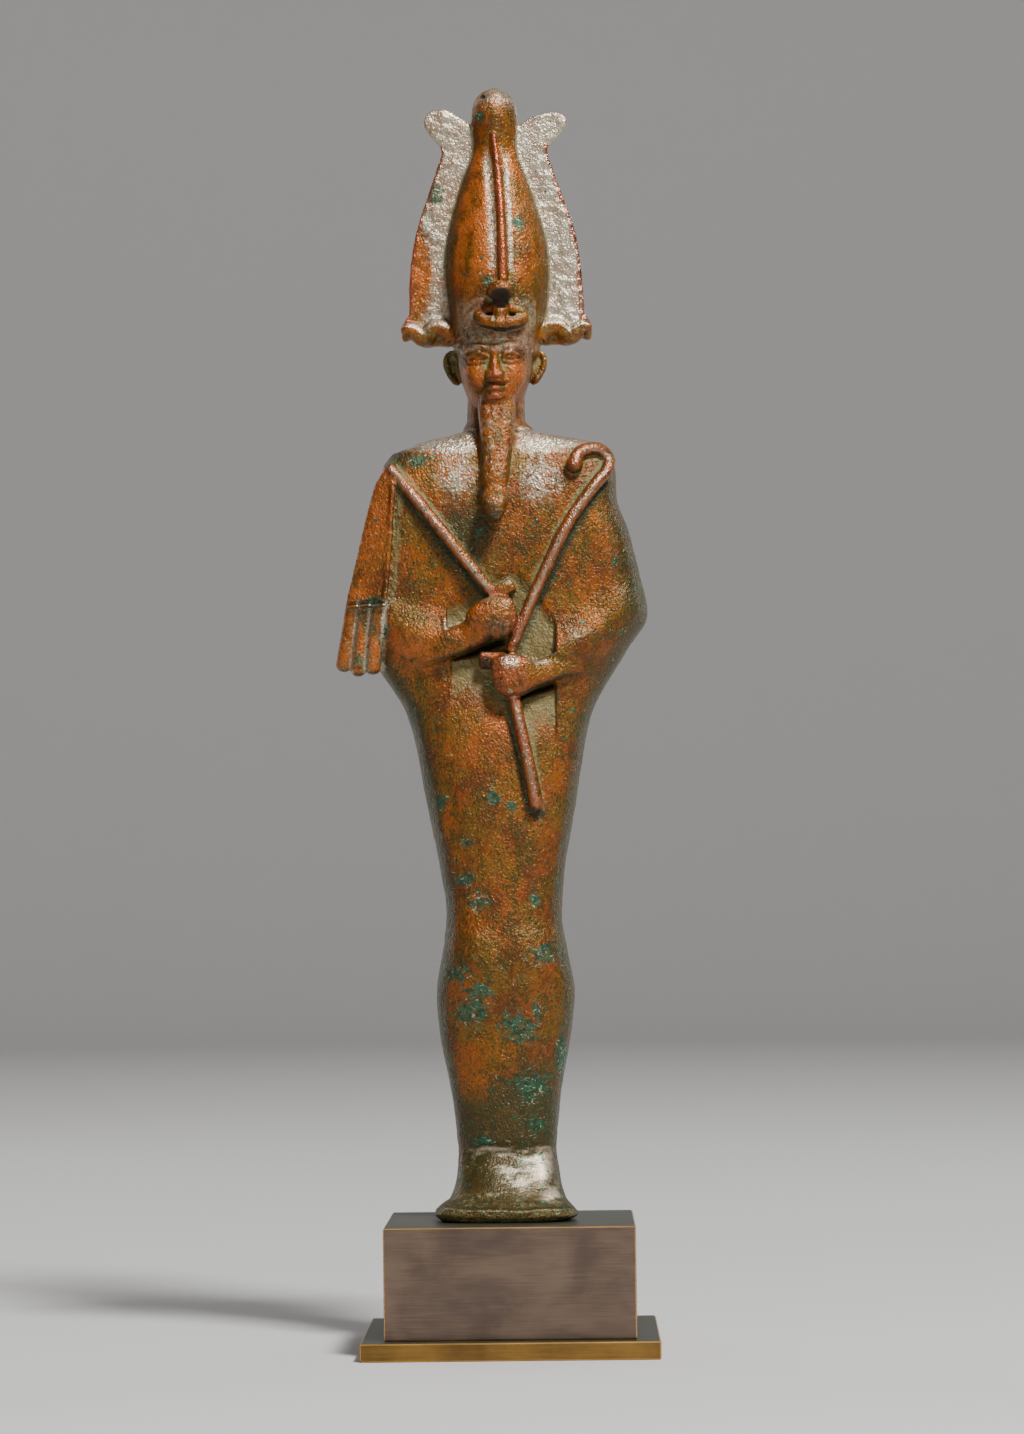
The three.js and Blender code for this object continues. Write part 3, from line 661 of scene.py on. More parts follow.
def melt(piece, voxel, rounds):
    """Turns overlapping pieces into one casting with soft joints."""
    deselect()
    bpy.context.view_layer.objects.active = piece
    piece.select_set(True)
    remesh = piece.modifiers.new("melt", "REMESH")
    remesh.mode = "VOXEL"
    remesh.voxel_size = voxel
    bpy.ops.object.modifier_apply(modifier=remesh.name)
    soften = piece.modifiers.new("soften", "SMOOTH")
    soften.factor = 0.5
    soften.iterations = rounds
    bpy.ops.object.modifier_apply(modifier=soften.name)


def make_casting():
    """The whole figure, joined into one piece."""
    pieces = [
        make_body(),
        make_head(),
        make_crown(),
        make_beard(),
        make_plume(-1, LEFT_CURL),
        make_plume(1, RIGHT_CURL),
        make_horn(-1),
        make_horn(1),
        *make_cobra(),
        *make_crook(),
        *make_flail(),
        *make_hand(UPPER_HAND, UPPER_THUMB, taper(1.6, 1.6, round_end=0.08)),
        *make_hand(LOWER_HAND, LOWER_THUMB, taper(2.0, 1.9, round_end=0.08)),
        *make_ear(-1, LEFT_EAR, EAR_HEIGHT),
        *make_ear(1, RIGHT_EAR, EAR_HEIGHT),
    ]
    deselect()
    for piece in pieces:
        piece.select_set(True)
    bpy.context.view_layer.objects.active = pieces[0]
    bpy.ops.object.join()
    casting = bpy.context.object
    casting.name = "osiris_casting"
    melt(casting, CASTING_VOXEL, CASTING_ROUNDS)
    return casting


# Opening in the wrap that the hands come out of: its side edges, and where it fades below and above
OPENING_LEFT = [(104, -10.6), (126, -10.9), (130, -11.5), (142, -12.1)]
OPENING_RIGHT = 12.4
OPENING_DEPTH = 1.0

# Raised edges of the sleeves, and deep slits under the two forearms, which are also painted black as shadow
SLEEVE_EDGES = [[(-12.2, 130.5), (-12.4, 135.0)], [(13.1, 124.8), (13.0, 132.5)]]
SLITS = [
    [(-11.2, 124.9), (-6, 126.2), (-1, 128.0), (1.6, 128.9)],
    [(3.6, 116.0), (6.5, 117.1), (12.4, 119.0)],
]

# Painted highlights as pale lines where the opening meets the sleeves and along the tops of the hands
HAND_RIMS = [
    [
        (-11.9, 134.4), (-11.7, 131.4), (-9.2, 132.4), (-7.1, 133.9), (-5.8, 136.1), (-4.3, 138.2),
        (-0.9, 139.3),
    ],
    [(4.6, 126.0), (6.8, 124.7), (9.6, 124.7), (12.8, 126.0)],
]

# Lines and marks cut into the casting, in the front plane: the band along the crown's rim, the upper
# edge of the sole, a ring mark, the gaps between the strands, grooves beside the cobra's neck, pits
# (place, radius, depth) and green patches (place, reaches)
RIM_BAND = [
    (-8.8, 192.2), (-8.2, 194.4), (-6.4, 195.8), (0, 196.3), (6.0, 195.8), (7.7, 194.4), (8.3, 192.2),
]
SOLE_EDGE = [(-14.2, 3.3), (-10.4, 2.9), (0.4, 2.6), (2.4, 2.25), (5.1, 2.35), (6.9, 2.8), (14.6, 2.6)]
RING_MARK = [(-3.4, 93), (-2.6, 95), (-0.9, 95.1), (-0.3, 93.2), (-1.2, 92)]
STRAND_GAPS = [
    [(-33.4, 121.5), (-31.3, 137.6)], [(-30.2, 120.5), (-28.5, 137.6)], [(-26.6, 121.5), (-25.3, 137.6)],
]
NECK_GROOVES = [
    [(COBRA_MIDDLE + 1.4 * side, 198.0), (COBRA_MIDDLE + 1.3 * side, 202.8)] for side in (-1, 1)
]
PITS = [
    (-1.9, 93.6, 1.5, 0.22), (-3.5, 72.5, 0.8, 0.3), (-2.4, 251.6, 0.9, 0.7), (-8.9, 70.0, 0.5, 0.3),
    (-6.9, 53.0, 0.5, 0.25), (2.5, 11.0, 0.5, 0.2), (4.5, 30.0, 1.3, 0.2), (7.5, 28.5, 1.1, 0.2),
]
GREEN_PATCHES = [
    (-8.5, 75.6, 3, 2.2), (-5.5, 70.9, 2.6, 3), (7.2, 70.7, 1.4, 1.4), (9.0, 58.8, 4, 3),
    (-10, 54.9, 4, 2), (-5.3, 50.4, 4, 2.2), (-7.2, 46.2, 4.5, 3.4), (3.0, 42.7, 4.6, 4.2),
    (7.2, 46.0, 2.2, 3), (6.0, 29.6, 4.5, 3.6), (7.4, 21.0, 2.6, 1.6), (-4.6, 17.6, 3, 1.2),
    (-1.6, 209, 1.6, 1.6), (-28, 137.6, 3.5, 1.2), (-25.3, 131, 0.9, 1.8), (-31.6, 124.5, 1.2, 1.6),
    (2.1, 91.8, 1.8, 1.2), (-1.9, 93.6, 2, 2), (-13.3, 93, 1.8, 2.4), (-17, 169, 4, 2),
    (-3.4, 247.4, 1.4, 2.2), (-13, 230, 2, 3), (5.6, 222, 1.2, 2), (12.5, 36, 1.5, 5), (-8, 84, 2, 1.5),
]
GREEN_SPREAD = 1.6

# Other patches: amount, place, reaches and the zone that each is kept to
PATCHES = {
    # Dark patches: a darker right lobe of the crown; the chest around the beard darker, olive patina with
    # painted shade; painted shadow of the beard on the chest; painted shade under the beard's knob, on the
    # lower thumb's front and on the upper fist's lower side
    "dark": [
        (0.45, 6.5, 224, 5, 16, "all"), (0.42, -2, 151, 25, 20, "skin"),
        (0.9, -7.5, 151, 11, 14, "skin"), (1.1, -3.6, 154, 3.6, 7, "skin"),
        (0.9, -0.5, 156.2, 3, 2.2, "all"), (1.5, -2.9, 123.0, 3.2, 3.2, "raised"),
        (0.9, 0, 131.6, 5.5, 4, "fist"),
    ],
    # Black patches: painted shade under the cobra's head, in the pit on the crown's top and on the lower
    # thumb's front
    "black": [
        (1, COBRA_MIDDLE, 204.6, 3.7, 3.0, "cobra"), (1, -2.4, 251.6, 0.9, 0.9, "ahead"),
        (0.45, -3.1, 123.7, 3.0, 2.7, "raised"),
    ],
    # Bright patches, pale silver patina with painted highlights: sheen on the chest and the sleeves' tops,
    # glints on the instep (the first dims its left side), highlights on the fists, the lower forearm's top
    # and the two thumbs
    "bright": [
        (0.66, -9, 165, 12, 12, "front"), (0.66, 9.5, 164.5, 12, 13, "front"),
        (0.22, -19, 131, 10, 7, "front"), (0.35, 19, 131, 10, 7, "front"),
        (0.22, 16.5, 128.5, 5, 7, "sleeve"), (-0.15, -6, 10, 5, 6, "satin_and_sheen"),
        (0.6, 8.6, 12, 3.2, 5.5, "satin_and_sheen"), (0.7, 10.5, 6, 4.6, 3.2, "satin_and_sheen"),
        (0.55, 1.4, 136.6, 2.6, 3.4, "fist"), (0.92, 2.3, 124.2, 4.4, 3.0, "fist"),
        (0.3, 3, 120, 5, 5, "fist"), (0.8, 9, 123.9, 4.8, 1.7, "fist"),
        (0.6, 2.2, 141.6, 3.2, 1.6, "fist"), (0.6, -3.0, 126.0, 3, 1.2, "fist"),
    ],
    "warm": [
        (0.8, -20, 127, 12, 8, "all"), (0.6, -5, 188, 5, 7, "head"), (0.6, 5, 188, 5, 7, "head"),
        (0.35, -3, 108, 12, 12, "ahead"),
    ],
    "worn": [(0.6, -1.2, 159.8, 2.4, 2.0, "knob")],
    "dust": [(0.8, -2.2, 138.0, 4.2, 2.2, "fist")],
}


def blob(x, h, at, reach):
    """A soft oval patch of height 1 in the front plane."""
    return hump(np.hypot((x - at[0]) / reach[0], (h - at[1]) / reach[1]), 1)


def stroke(x, h, path, width, fade=0.15):
    """A soft ridge along a line of points, thinning out towards its ends."""
    distance, along = reach_of(x, h, path)
    ends = step(along, 0, fade) * step(1 - along, 0, fade) if fade > 0 else 1
    return hump(distance, width) * ends


def strongest(x, h, paths, width, fade):
    """The highest of the ridges along several lines."""
    return np.max([stroke(x, h, path, width, fade) for path in paths], axis=0)


def sleeved(x, h):
    """1 where a forearm comes out of its sleeve."""
    covered = np.zeros(np.shape(x))
    for rows in (UPPER_HAND, LOWER_HAND):
        x_at, h_at, _, half, _ = np.array(sorted(rows)).T
        reach = np.interp(x, x_at, half) - np.abs(h - np.interp(x, x_at, h_at))
        covered = np.maximum(covered, step(reach, -0.5, 0.0) * (np.abs(x) > 7) * (x * rows[0][0] > 0))
    return covered


def opening_at(x, h):
    """1 in the opening of the wrap, with crisp sides, fading out below and above."""
    left = np.interp(h, *np.array(OPENING_LEFT).T)
    inside = rise_fall(x, left - 0.2, left + 0.3, OPENING_RIGHT - 0.3, OPENING_RIGHT + 0.2)
    foot = np.interp(x, [-6, 4], [111, 103])
    top = np.interp(x, [-12, -4, 4, 8, 12], [133, 137, 141, 136, 130])
    return inside * rise_fall(h, foot, foot + 13, top, top + 5) * (1 - sleeved(x, h))


def face_relief(x, h):
    """The plain face, as standing out from the curve of the head."""
    side = np.abs(x)
    share = limit((BROW - h) / (BROW - NOSE))
    under = np.where(h > NOSE - 0.1, 1, hump(h - NOSE + 0.1, 0.9))
    rise = (0.5 + 2.0 * share**1.3) * hump(x, 1.4 + 1.0 * share**2) * under * step(BROW + 1.5 - h, 0, 1.5)
    rise += 0.8 * hump(side - 1.5, 1.0) * hump(h - NOSE - 0.5, 1.2)
    rise += 0.5 * hump(h - BROW, 1.6) * hump(side - EYE_OFFSET, 4.6)
    rise -= 1.0 * hump(h - EYE, 2.2) * hump(side - EYE_OFFSET, 3.6)
    rise += 1.5 * blob(side, h, (EYE_OFFSET, EYE), (2.7, 1.5))
    rise += 0.8 * blob(side, h, (4.9, NOSE + 0.4), (3.4, 3.8))
    rise += 0.5 * blob(x, h, (0, MOUTH), (4.6, 3.0))
    rise += 1.3 * blob(x, h - 0.1 * side, (0, MOUTH + 0.75), (3.3, 1.1))
    rise += 1.4 * blob(x, h, (0, MOUTH - 0.9), (2.8, 1.1))
    rise += 1.4 * blob(x, h, (0, CHIN - 0.1), (4.0, 2.2))
    rise += 0.6 * stroke(side, h, BROW_LINE, 0.9)
    rise += 0.8 * stroke(side, h, UPPER_LID, 0.65)
    rise -= 0.5 * stroke(side, h, [(px, ph + 1.1) for px, ph in UPPER_LID[1:]], 0.6)
    rise += 0.6 * stroke(side, h, LOWER_LID, 0.6)
    rise -= 0.8 * stroke(x, h, LIP_LINE, 0.55)
    return rise


def tail_line(h):
    """Where the crown's middle ridge runs at each height."""
    across, up = np.array(TAIL).T
    return np.interp(h, up, across)


def crown_relief(x, h):
    """Flat strips beside the crown's middle ridge, and the rounded band along its rim."""
    away = np.abs(x - tail_line(h))
    strips = hump(away - 2.0, 1.6) * (away > 0.8) * rise_fall(h, 208, 214, 236, 243)
    return 0.2 * stroke(x, h, RIM_BAND, 1.6, 0.04) - 0.45 * strips


def panel_relief(x, h, grain):
    """The groove under the flail's panel, its faint ribs and the gaps of the strands."""
    rise = -0.7 * hump(h - 137.5 - 0.03 * (x + 30), 0.65) * (x < -24.9)
    rise += 0.12 * np.sin(h * 2.4) * (h > 138.5) * (1 - step(h, 148, 158)) + 0.13 * grain * (h > 138)
    for path in STRAND_GAPS:
        rise -= 0.25 * stroke(x, h, path, 0.65, 0)
    return rise


def foot_relief(x, h):
    """The wavy upper edge of the sole band, with the hollow above it."""
    rise = 0.3 * stroke(x, h, SOLE_EDGE, 0.6, 0.02)
    return rise - 0.25 * stroke(x, h, [(px, ph + 1.2) for px, ph in SOLE_EDGE], 0.9, 0.05)


def finger_relief(x, h):
    """Shallow lines between the fingers of the two fists."""
    rise = np.zeros(len(x))
    for k in range(3):
        rise -= 0.12 * stroke(x, h, [(1.2, 131.2 + 1.8 * k), (4.2, 131.4 + 1.7 * k)], 0.5, 0.3)
        rise -= 0.28 * stroke(x, h, [(-2.4, 118.3 + 1.7 * k), (1.6, 118.1 + 1.8 * k)], 0.5, 0.3)
    return rise


def surface_grain(spots, plain):
    """The uneven skin of the casting, coarse and fine, fine only where it is plain."""
    coarse = 0.09 * noise(spots, 6.0, 1)
    return coarse + (0.06 * noise(spots, 2.2, 2) + 0.055 * noise(spots, 0.9, 3)) * plain


def carve(piece):
    """Cuts the finer relief into the casting."""
    points, normals = points_of(piece), points_of(piece, "normal")
    spots = to_parts(points)
    x, y, h = spots.T
    forward = -normals[:, 1]
    ahead = step(forward, 0.1, 0.6)
    facing = step(forward, 0.0, 0.5)
    sleeves = raised(SLEEVES, x, h)
    proud = body_front(x, h) - y
    skin = ahead * (1 - step(proud - sleeves, 0.35, 1.1)) * (h < 172)
    small_grain = noise(spots, 0.75, 11)

    # Relief along the normals, each kind on its own part
    out = finger_relief(x, h) * ahead * (proud > 1.5) * within(h, 117, 139.5)
    face = within(h, 178, 199.4) & (y < -2.0)
    out += np.where(face, face_relief(x - HEAD_SHIFT, h) * step(forward, 0.0, 0.45), 0)
    out += np.where(h > 193, crown_relief(x, h) * ahead, 0)
    panel = (x < value_at(PANEL_ROWS, h)[0] + 1.0) & within(h, 120, 169) & (y < 0)
    out += np.where(panel, panel_relief(x, h, small_grain) * facing, 0)
    out += np.where(h < 7, foot_relief(x, h) * ahead, 0)
    beard = (np.abs(x) < 4.3) & within(h, 161.5, 181) & (proud > 1.8)
    plaits = 0.13 * small_grain + 0.05 * np.cos(3.6 * h) * np.cos(3.6 * x)
    out += np.where(beard, plaits * facing, 0)
    plume = (np.abs(x) > 9) & (h > 199) & (np.abs(y - PLUME_MIDDLE) < 1.8)
    wrinkles = noise(spots * (0.7, 0.5, 1), 1.2, 12) + 0.5 * noise(spots, 0.7, 13)
    out += np.where(plume, 0.17 * wrinkles, 0) * step(np.abs(normals[:, 1]), 0.3, 0.9)
    for path in SLEEVE_EDGES:
        out += 0.25 * stroke(x, h, path, 0.7, 0.3) * ahead * (proud < 2.5)
    for px, ph, radius, depth in PITS:
        out -= depth * blob(x, h, (px, ph), (radius, radius)) * ahead
    out += 0.15 * stroke(x, h, RING_MARK, 0.45) * ahead
    out += 0.5 * (blob(x, h, (8.4, 11), (3.0, 5)) + blob(x, h, (10.5, 5.6), (4.6, 2.2))) * ahead

    # Grain everywhere, weaker on the face and the hands
    plain = 1 - 0.7 * face * facing
    plain *= 1 - 0.6 * step(proud, 0.6, 1.4) * (h < 176)
    out += surface_grain(spots, plain)
    out += 0.05 * blob(x, h, (0, 162), (30, 26)) * ahead * noise(spots, 0.7, 4) * plain
    out *= step(h, 0.15, 0.9)
    moved = spots + normals * out[:, None]

    # Cuts straight back: the opening, the slits, the cobra's neck and its sloping forehead
    moved[:, 1] += (OPENING_DEPTH + sleeves + 0.1 * small_grain) * opening_at(x, h) * skin
    for path in SLITS:
        moved[:, 1] += 2.2 * stroke(x, h, path, 1.2, 0.1) * ahead * (proud - sleeves < 1.2)
    for path in NECK_GROOVES:
        moved[:, 1] += 0.3 * ahead * stroke(x, h, path, 0.35)
    wedge = (np.abs(x - COBRA_MIDDLE) < 3.4) & within(h, 202.3, 208.0) & (y < crown_front(x, h) - 2.2)
    sloped = crown_front(COBRA_MIDDLE, h) - 6.0 + 0.9 * (206.9 - h)
    moved[:, 1] = np.where(wedge, np.maximum(moved[:, 1], sloped), moved[:, 1])
    set_points(piece, from_parts(moved))


def thin(piece, triangles):
    """Brings the mesh down to a number of triangles, fewer of them off the head, hands and crown."""
    x, y, h = to_parts(points_of(piece)).T
    hands = within(h, 115, 146) & (np.abs(x) < 15) & (y < 0)
    fine = (within(h, 179, 211) & (y < 1)) | hands
    keep = piece.vertex_groups.new(name="keep")
    keep.add(np.flatnonzero(fine).tolist(), 1.0, "REPLACE")
    piece.data.calc_loop_triangles()
    fewer = piece.modifiers.new("fewer", "DECIMATE")
    fewer.ratio = triangles / len(piece.data.loop_triangles)
    fewer.vertex_group = keep.name
    fewer.invert_vertex_group = True
    fewer.vertex_group_factor = 4.0
    bpy.ops.object.modifier_apply(modifier=fewer.name)
    piece.vertex_groups.clear()


def smoothed(points, edges, rounds):
    """The points after so many rounds of averaging with their neighbours."""
    first, second = edges.T
    count = np.bincount(edges.ravel(), minlength=len(points)).astype(float)[:, None]
    for _ in range(rounds):
        total = np.zeros_like(points)
        for k in range(3):
            total[:, k] = np.bincount(first, points[second, k], len(points))
            total[:, k] += np.bincount(second, points[first, k], len(points))
        points = 0.4 * points + 0.6 * total / count
    return points


def relief_of(piece, points, normals):
    """How far each point stands out from the surface around it, nearby and more broadly, in parts."""
    edges = np.empty(2 * len(piece.data.edges), int)
    piece.data.edges.foreach_get("vertices", edges)
    edges = edges.reshape(-1, 2)
    near = smoothed(points, edges, rounds=6)
    far = smoothed(near, edges, rounds=50)
    return np.sum((points - near) * normals, 1) / PART, np.sum((near - far) * normals, 1) / PART


def patches(kind, zones, x, h):
    """The amounts of one kind of patch on each point, one row a patch."""
    return [amount * blob(x, h, row[:2], row[2:]) * zones[zone] for amount, *row, zone in PATCHES[kind]]


def near_rods(x, h, proud, ahead):
    """The rods of crook and flail, their middle lines that get a painted highlight, the body beside them
    and its shadow side.
    """
    distance = np.min([reach_of(x, h, path)[0] for path in (CROOK, STAFF, FLAIL_ROD)], axis=0)
    fist = within(h, 116.5, 128) & (np.abs(x) < 7)
    rods = (1 - step(distance, 1.5, 2.0)) * within(proud, 0.5, 3.6) * ahead * (1 - fist)
    beside = (1 - step(distance, 1.6, 3.8)) * (proud < 0.6) * ahead
    below = np.zeros(len(x))
    for path in (CROOK[CROOK_BEND:], STAFF, FLAIL_ROD):
        under_rod = (reach_of(x, h, path)[0] < 5) & (h < np.interp(x, *np.array(sorted(path)).T))
        below = np.maximum(below, under_rod)
    return rods, rods * (1 - step(distance, 0.2, 1.3)), beside, below


def paint_masks(piece):
    """Where the casting is worn, hollow, dusty, green, dark, black or bright, as values on its points: dark
    and black hold painted shade and shadow besides dark patina, bright holds painted highlights besides
    pale silver patina.
    """
    points, normals = points_of(piece), points_of(piece, "normal")
    x, y, h = to_parts(points).T
    side, up = np.abs(x), normals[:, 2]
    fine, broad = relief_of(piece, points, normals)
    broad *= 1 + 0.8 * within(h, 181, 197) * (y < -4)
    ahead = step(-normals[:, 1], 0.05, 0.55)
    under = step(-up, 0.25, 0.75)
    proud = body_front(x, h) - y
    skin = (proud < 1.2) | (y > 0)
    crown_proud = crown_front(x, h) - y
    crown_half = half_width_at(CROWN_ROWS, x, h)
    on_crown = side < crown_half

    # The casting's own parts
    tail_x = tail_line(h)
    away = np.abs(x - tail_x)
    ridge = (away < 0.9) * within(h, 209.5, 243) * ahead
    strips = step(away, 0.8, 1.2) * (1 - step(away, 2.6, np.where(x < tail_x, 4.2, 3.0)))
    horn_top = np.interp(side, *np.array(HORN_RIDGE).T) + 0.6
    horns = (side > crown_half) & (h < horn_top + 1.5) & (h > 194) & (y < PLUME_MIDDLE)
    plume = (np.abs(y - PLUME_MIDDLE) < 2.4) & (side > crown_half - 0.4) & (h > horn_top) & (h < 250)
    plume_edge = plume & (side > np.interp(h, *np.array(PLUME_EDGE[::-1]).T[::-1]) - 1.2) & (h < 241)
    rusty = plume * (x < 0) * blob(x, h, (-19.5, 212), (7, 17))
    loops = (np.abs(x - COBRA_MIDDLE) < 7) & within(h, 197, 211) & (crown_proud > 0.8)
    ears = (side > 8.4) & within(h, 184, 194.4)
    beard = (side < 4.6) & within(h, 154, 180) & (proud > 2)
    inner, outer = value_at(PANEL_ROWS, h)
    panel = (x < inner) & within(h, 120, 168) & (y < 0)
    seam = hump(x - inner - 1.5, 1.5) * within(h, 137, 166) * ahead
    gaps = strongest(x, h, STRAND_GAPS, 1.2, 0) * ahead
    rims = strongest(x, h, HAND_RIMS, 0.9, 0.05) * ahead * (proud < 2.2)
    rods, rod_middles, beside, below = near_rods(x, h, proud, ahead)
    opening = opening_at(x, h) * ahead
    sole = (h < 2.8) * ahead
    hem = 16.2 + 0.8 * noise(np.stack([x, 0 * x, 0 * x], 1), 2.5, 5)
    # the instep's satin band, which also carries its painted sheen and glints
    satin_and_sheen = ahead * rise_fall(h, 2.6, 3.2, hem, hem + 1.0)
    crown_edge = step(side / crown_half, 0.72, 0.98) * (h > 200) * on_crown
    lower_crown = np.maximum(1 - step(h, 200, 207), step(side / crown_half, 0.78, 0.98) * (h < 246))
    lower_crown *= (h > 193.4) * ahead * (side < crown_half + 0.3) * (crown_proud < 0.8)

    zones = {
        "all": 1, "ahead": ahead, "skin": skin, "front": ahead * skin, "satin_and_sheen": satin_and_sheen, "head": h > 180,
        "raised": proud > 1.0, "fist": proud > 1.5, "knob": proud > 2, "cobra": crown_proud > 1.5,
        "sleeve": ahead * (x > 13),
    }
    green = [blob(x, h, row[:2], GREEN_SPREAD * np.array(row[2:])) for row in GREEN_PATCHES]
    # Dark: the sides towards the outline, olive patina with painted shade where they turn from the light;
    # painted shade under raised parts and on the body below the rods; the lower legs darker towards the
    # feet; the crown's sides, the left ear and the flail's panel darker
    edge = step(side / half_width_at(BODY_ROWS, x, h), 0.66, 0.98) * (h < 172) * skin
    edge *= 1 - 0.45 * step(y, -2, 4)
    shin = (1 - step(h, 22, np.interp(x, [-8, 4], [36, 50]))) * np.interp(x, [-8, 4], [0.85, 1])
    dark = [
        0.9 * shin, edge * np.where(x < 0, 0.9, 0.8), 0.6 * crown_edge, 0.6 * ears * (x < 0), 0.28 * panel,
        0.8 * under * (proud > 1.2) * within(h, 100, 172), beside * below, *patches("dark", zones, x, h),
    ]
    # Black: painted shade under the cobra's coil and painted shadow in the slits under the forearms and
    # below the rods
    black = [
        0.5 * under * (np.abs(x - COBRA_MIDDLE) < 7.5) * within(h, 197, 201.5) * (y < -9),
        0.8 * strongest(x, h, SLITS, 1.2, 0.1) * (proud < 0.4) * ahead,
        0.3 * step(beside, 0.3, 1) * below,
        *patches("black", zones, x, h),
    ]
    warm = rise_fall(h, 205, 211, 236, 244) * (1 - strips) * np.where(x < tail_x, 1, 0.5) * (1 - crown_edge)
    warm = warm * on_crown + 0.6 * panel + 0.15 * (proud > 1.5) * within(h, 115, 142) + 0.8 * rusty

    # Bright: pale silver patina together with painted highlights on the shoulders' tops, the instep with
    # its streaks, the beard, the middles of the rods, the plumes (more on the right), the tops of the horns
    # and of the cobra's loops, the crown's top and the pale lines along the hands' edges; the crown's
    # strips and lower part, the sole's edge, the gaps between the strands and the seam by the panel are
    # pale patina
    shoulders = step(h, 169, 173) * (h < 177) * (side > 4.5) * (1 - 0.7 * step(y, 0, 5)) * skin
    instep = 0.19 * rise_fall(x, -10, -1, 6, 11) * step(h, 3.5, 9) + 0.28 * step(h, 2.6, 5)
    brushed = noise(np.stack([0.22 * x, 0 * x, h], 1), 0.8, 6)
    bright = 0.75 * shoulders + (instep + 0.3 * brushed) * satin_and_sheen + 0.4 * beard + 0.74 * rod_middles
    bright += np.where(x < 0, 0.75, 1.15) * plume - 0.9 * rusty + 0.9 * horns * step(up, -0.1, 0.5)
    bright += 0.64 * strips * rise_fall(h, 208, 213, 236, 246) * ahead
    bright += loops * (0.45 * step(up, 0.4, 0.9) - 0.28)
    bright += 0.6 * step(h, 244, 252) + 0.58 * (h > 193) * (1 - step(h, 202, 212)) * (side < 9) * ahead
    bright += 0.54 * stroke(x, h, SOLE_EDGE, 0.7, 0.02) * ahead * (h < 5)
    bright += 0.85 * rims + 1.05 * gaps + 0.4 * seam

    rubbed = step(broad, 0.34, 0.72) * (1 - opening) + 0.5 * step(fine, 0.04, 0.16)
    worn = rubbed * (1 - 0.7 * (h < 4) - 0.8 * blob(x, h, (-2, 109), (13, 10)))
    worn += 0.8 * ridge + 0.7 * plume_edge + 0.6 * rods + 0.6 * panel * hump(x - outer, 1.0) * (h > 138)
    worn += (0.6 - 0.1 * (h > 128)) * (proud > 2.2) * within(h, 115, 140) * (side < 6)
    dust = opening * (proud < 0.3) + 0.1 * gaps + 0.8 * seam + 0.35 * panel * (h < 137) + 0.4 * ears
    dust += 0.6 * beside * (1 - below) + 0.3 * rods + 0.4 * lower_crown + 0.4 * horns * (up < 0.1)
    dust += 0.65 * sole + 0.4 * rise_fall(h, 2.6, 3.4, 6, 9) * ahead

    masks = {
        "warm": warm + sum(patches("warm", zones, x, h)),
        "worn": worn + sum(patches("worn", zones, x, h)),
        "hollow": (step(-broad, 0.12, 0.42) + 0.4 * step(-fine, 0.03, 0.15)) * (1 - 0.7 * gaps),
        "satin_and_sheen": satin_and_sheen + 0.25 * rods + (h > 196) * (0.36 - 0.1 * plume),
        "dust": dust + sum(patches("dust", zones, x, h)),
        "green": np.max(green, axis=0),
        "dark": np.max(dark, axis=0) * (1 - 0.2 * sole),
        "black": np.max(black, axis=0),
        "bright": bright + sum(patches("bright", zones, x, h)),
    }
    for name, values in masks.items():
        layer = piece.data.attributes.new(name, "FLOAT", "POINT")
        layer.data.foreach_set("value", np.ascontiguousarray(limit(values), np.float32))


casting = make_casting()
carve(casting)
paint_masks(casting)
thin(casting, CASTING_TRIANGLES)
deselect()
casting.select_set(True)
bpy.ops.object.shade_smooth()
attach(casting, "root")
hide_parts("osiris_figure")


class Signal:
    """A socket of a finish. Sums on it add Math nodes."""

    def __init__(self, finish, socket):
        self.finish = finish
        self.socket = socket

    def maths(self, operation, *others):
        return self.finish.node("ShaderNodeMath", {"operation": operation}, [self, *others])

    def __add__(self, other):
        return self.maths("ADD", other)

    def __sub__(self, other):
        return self.maths("SUBTRACT", other)

    def __mul__(self, other):
        return self.maths("MULTIPLY", other)

    def __rsub__(self, other):
        return self.finish.node("ShaderNodeMath", {"operation": "SUBTRACT"}, [other, self])

    def __abs__(self):
        return self.maths("ABSOLUTE")

    __radd__ = __add__
    __rmul__ = __mul__

    def step(self, low, high):
        """0 below low, 1 above high and smooth between them."""
        settings = {"interpolation_type": "SMOOTHSTEP"}
        return self.finish.node("ShaderNodeMapRange", settings, [self, low, high, 0.0, 1.0])

    def most(self, other):
        return self.maths("MAXIMUM", other)


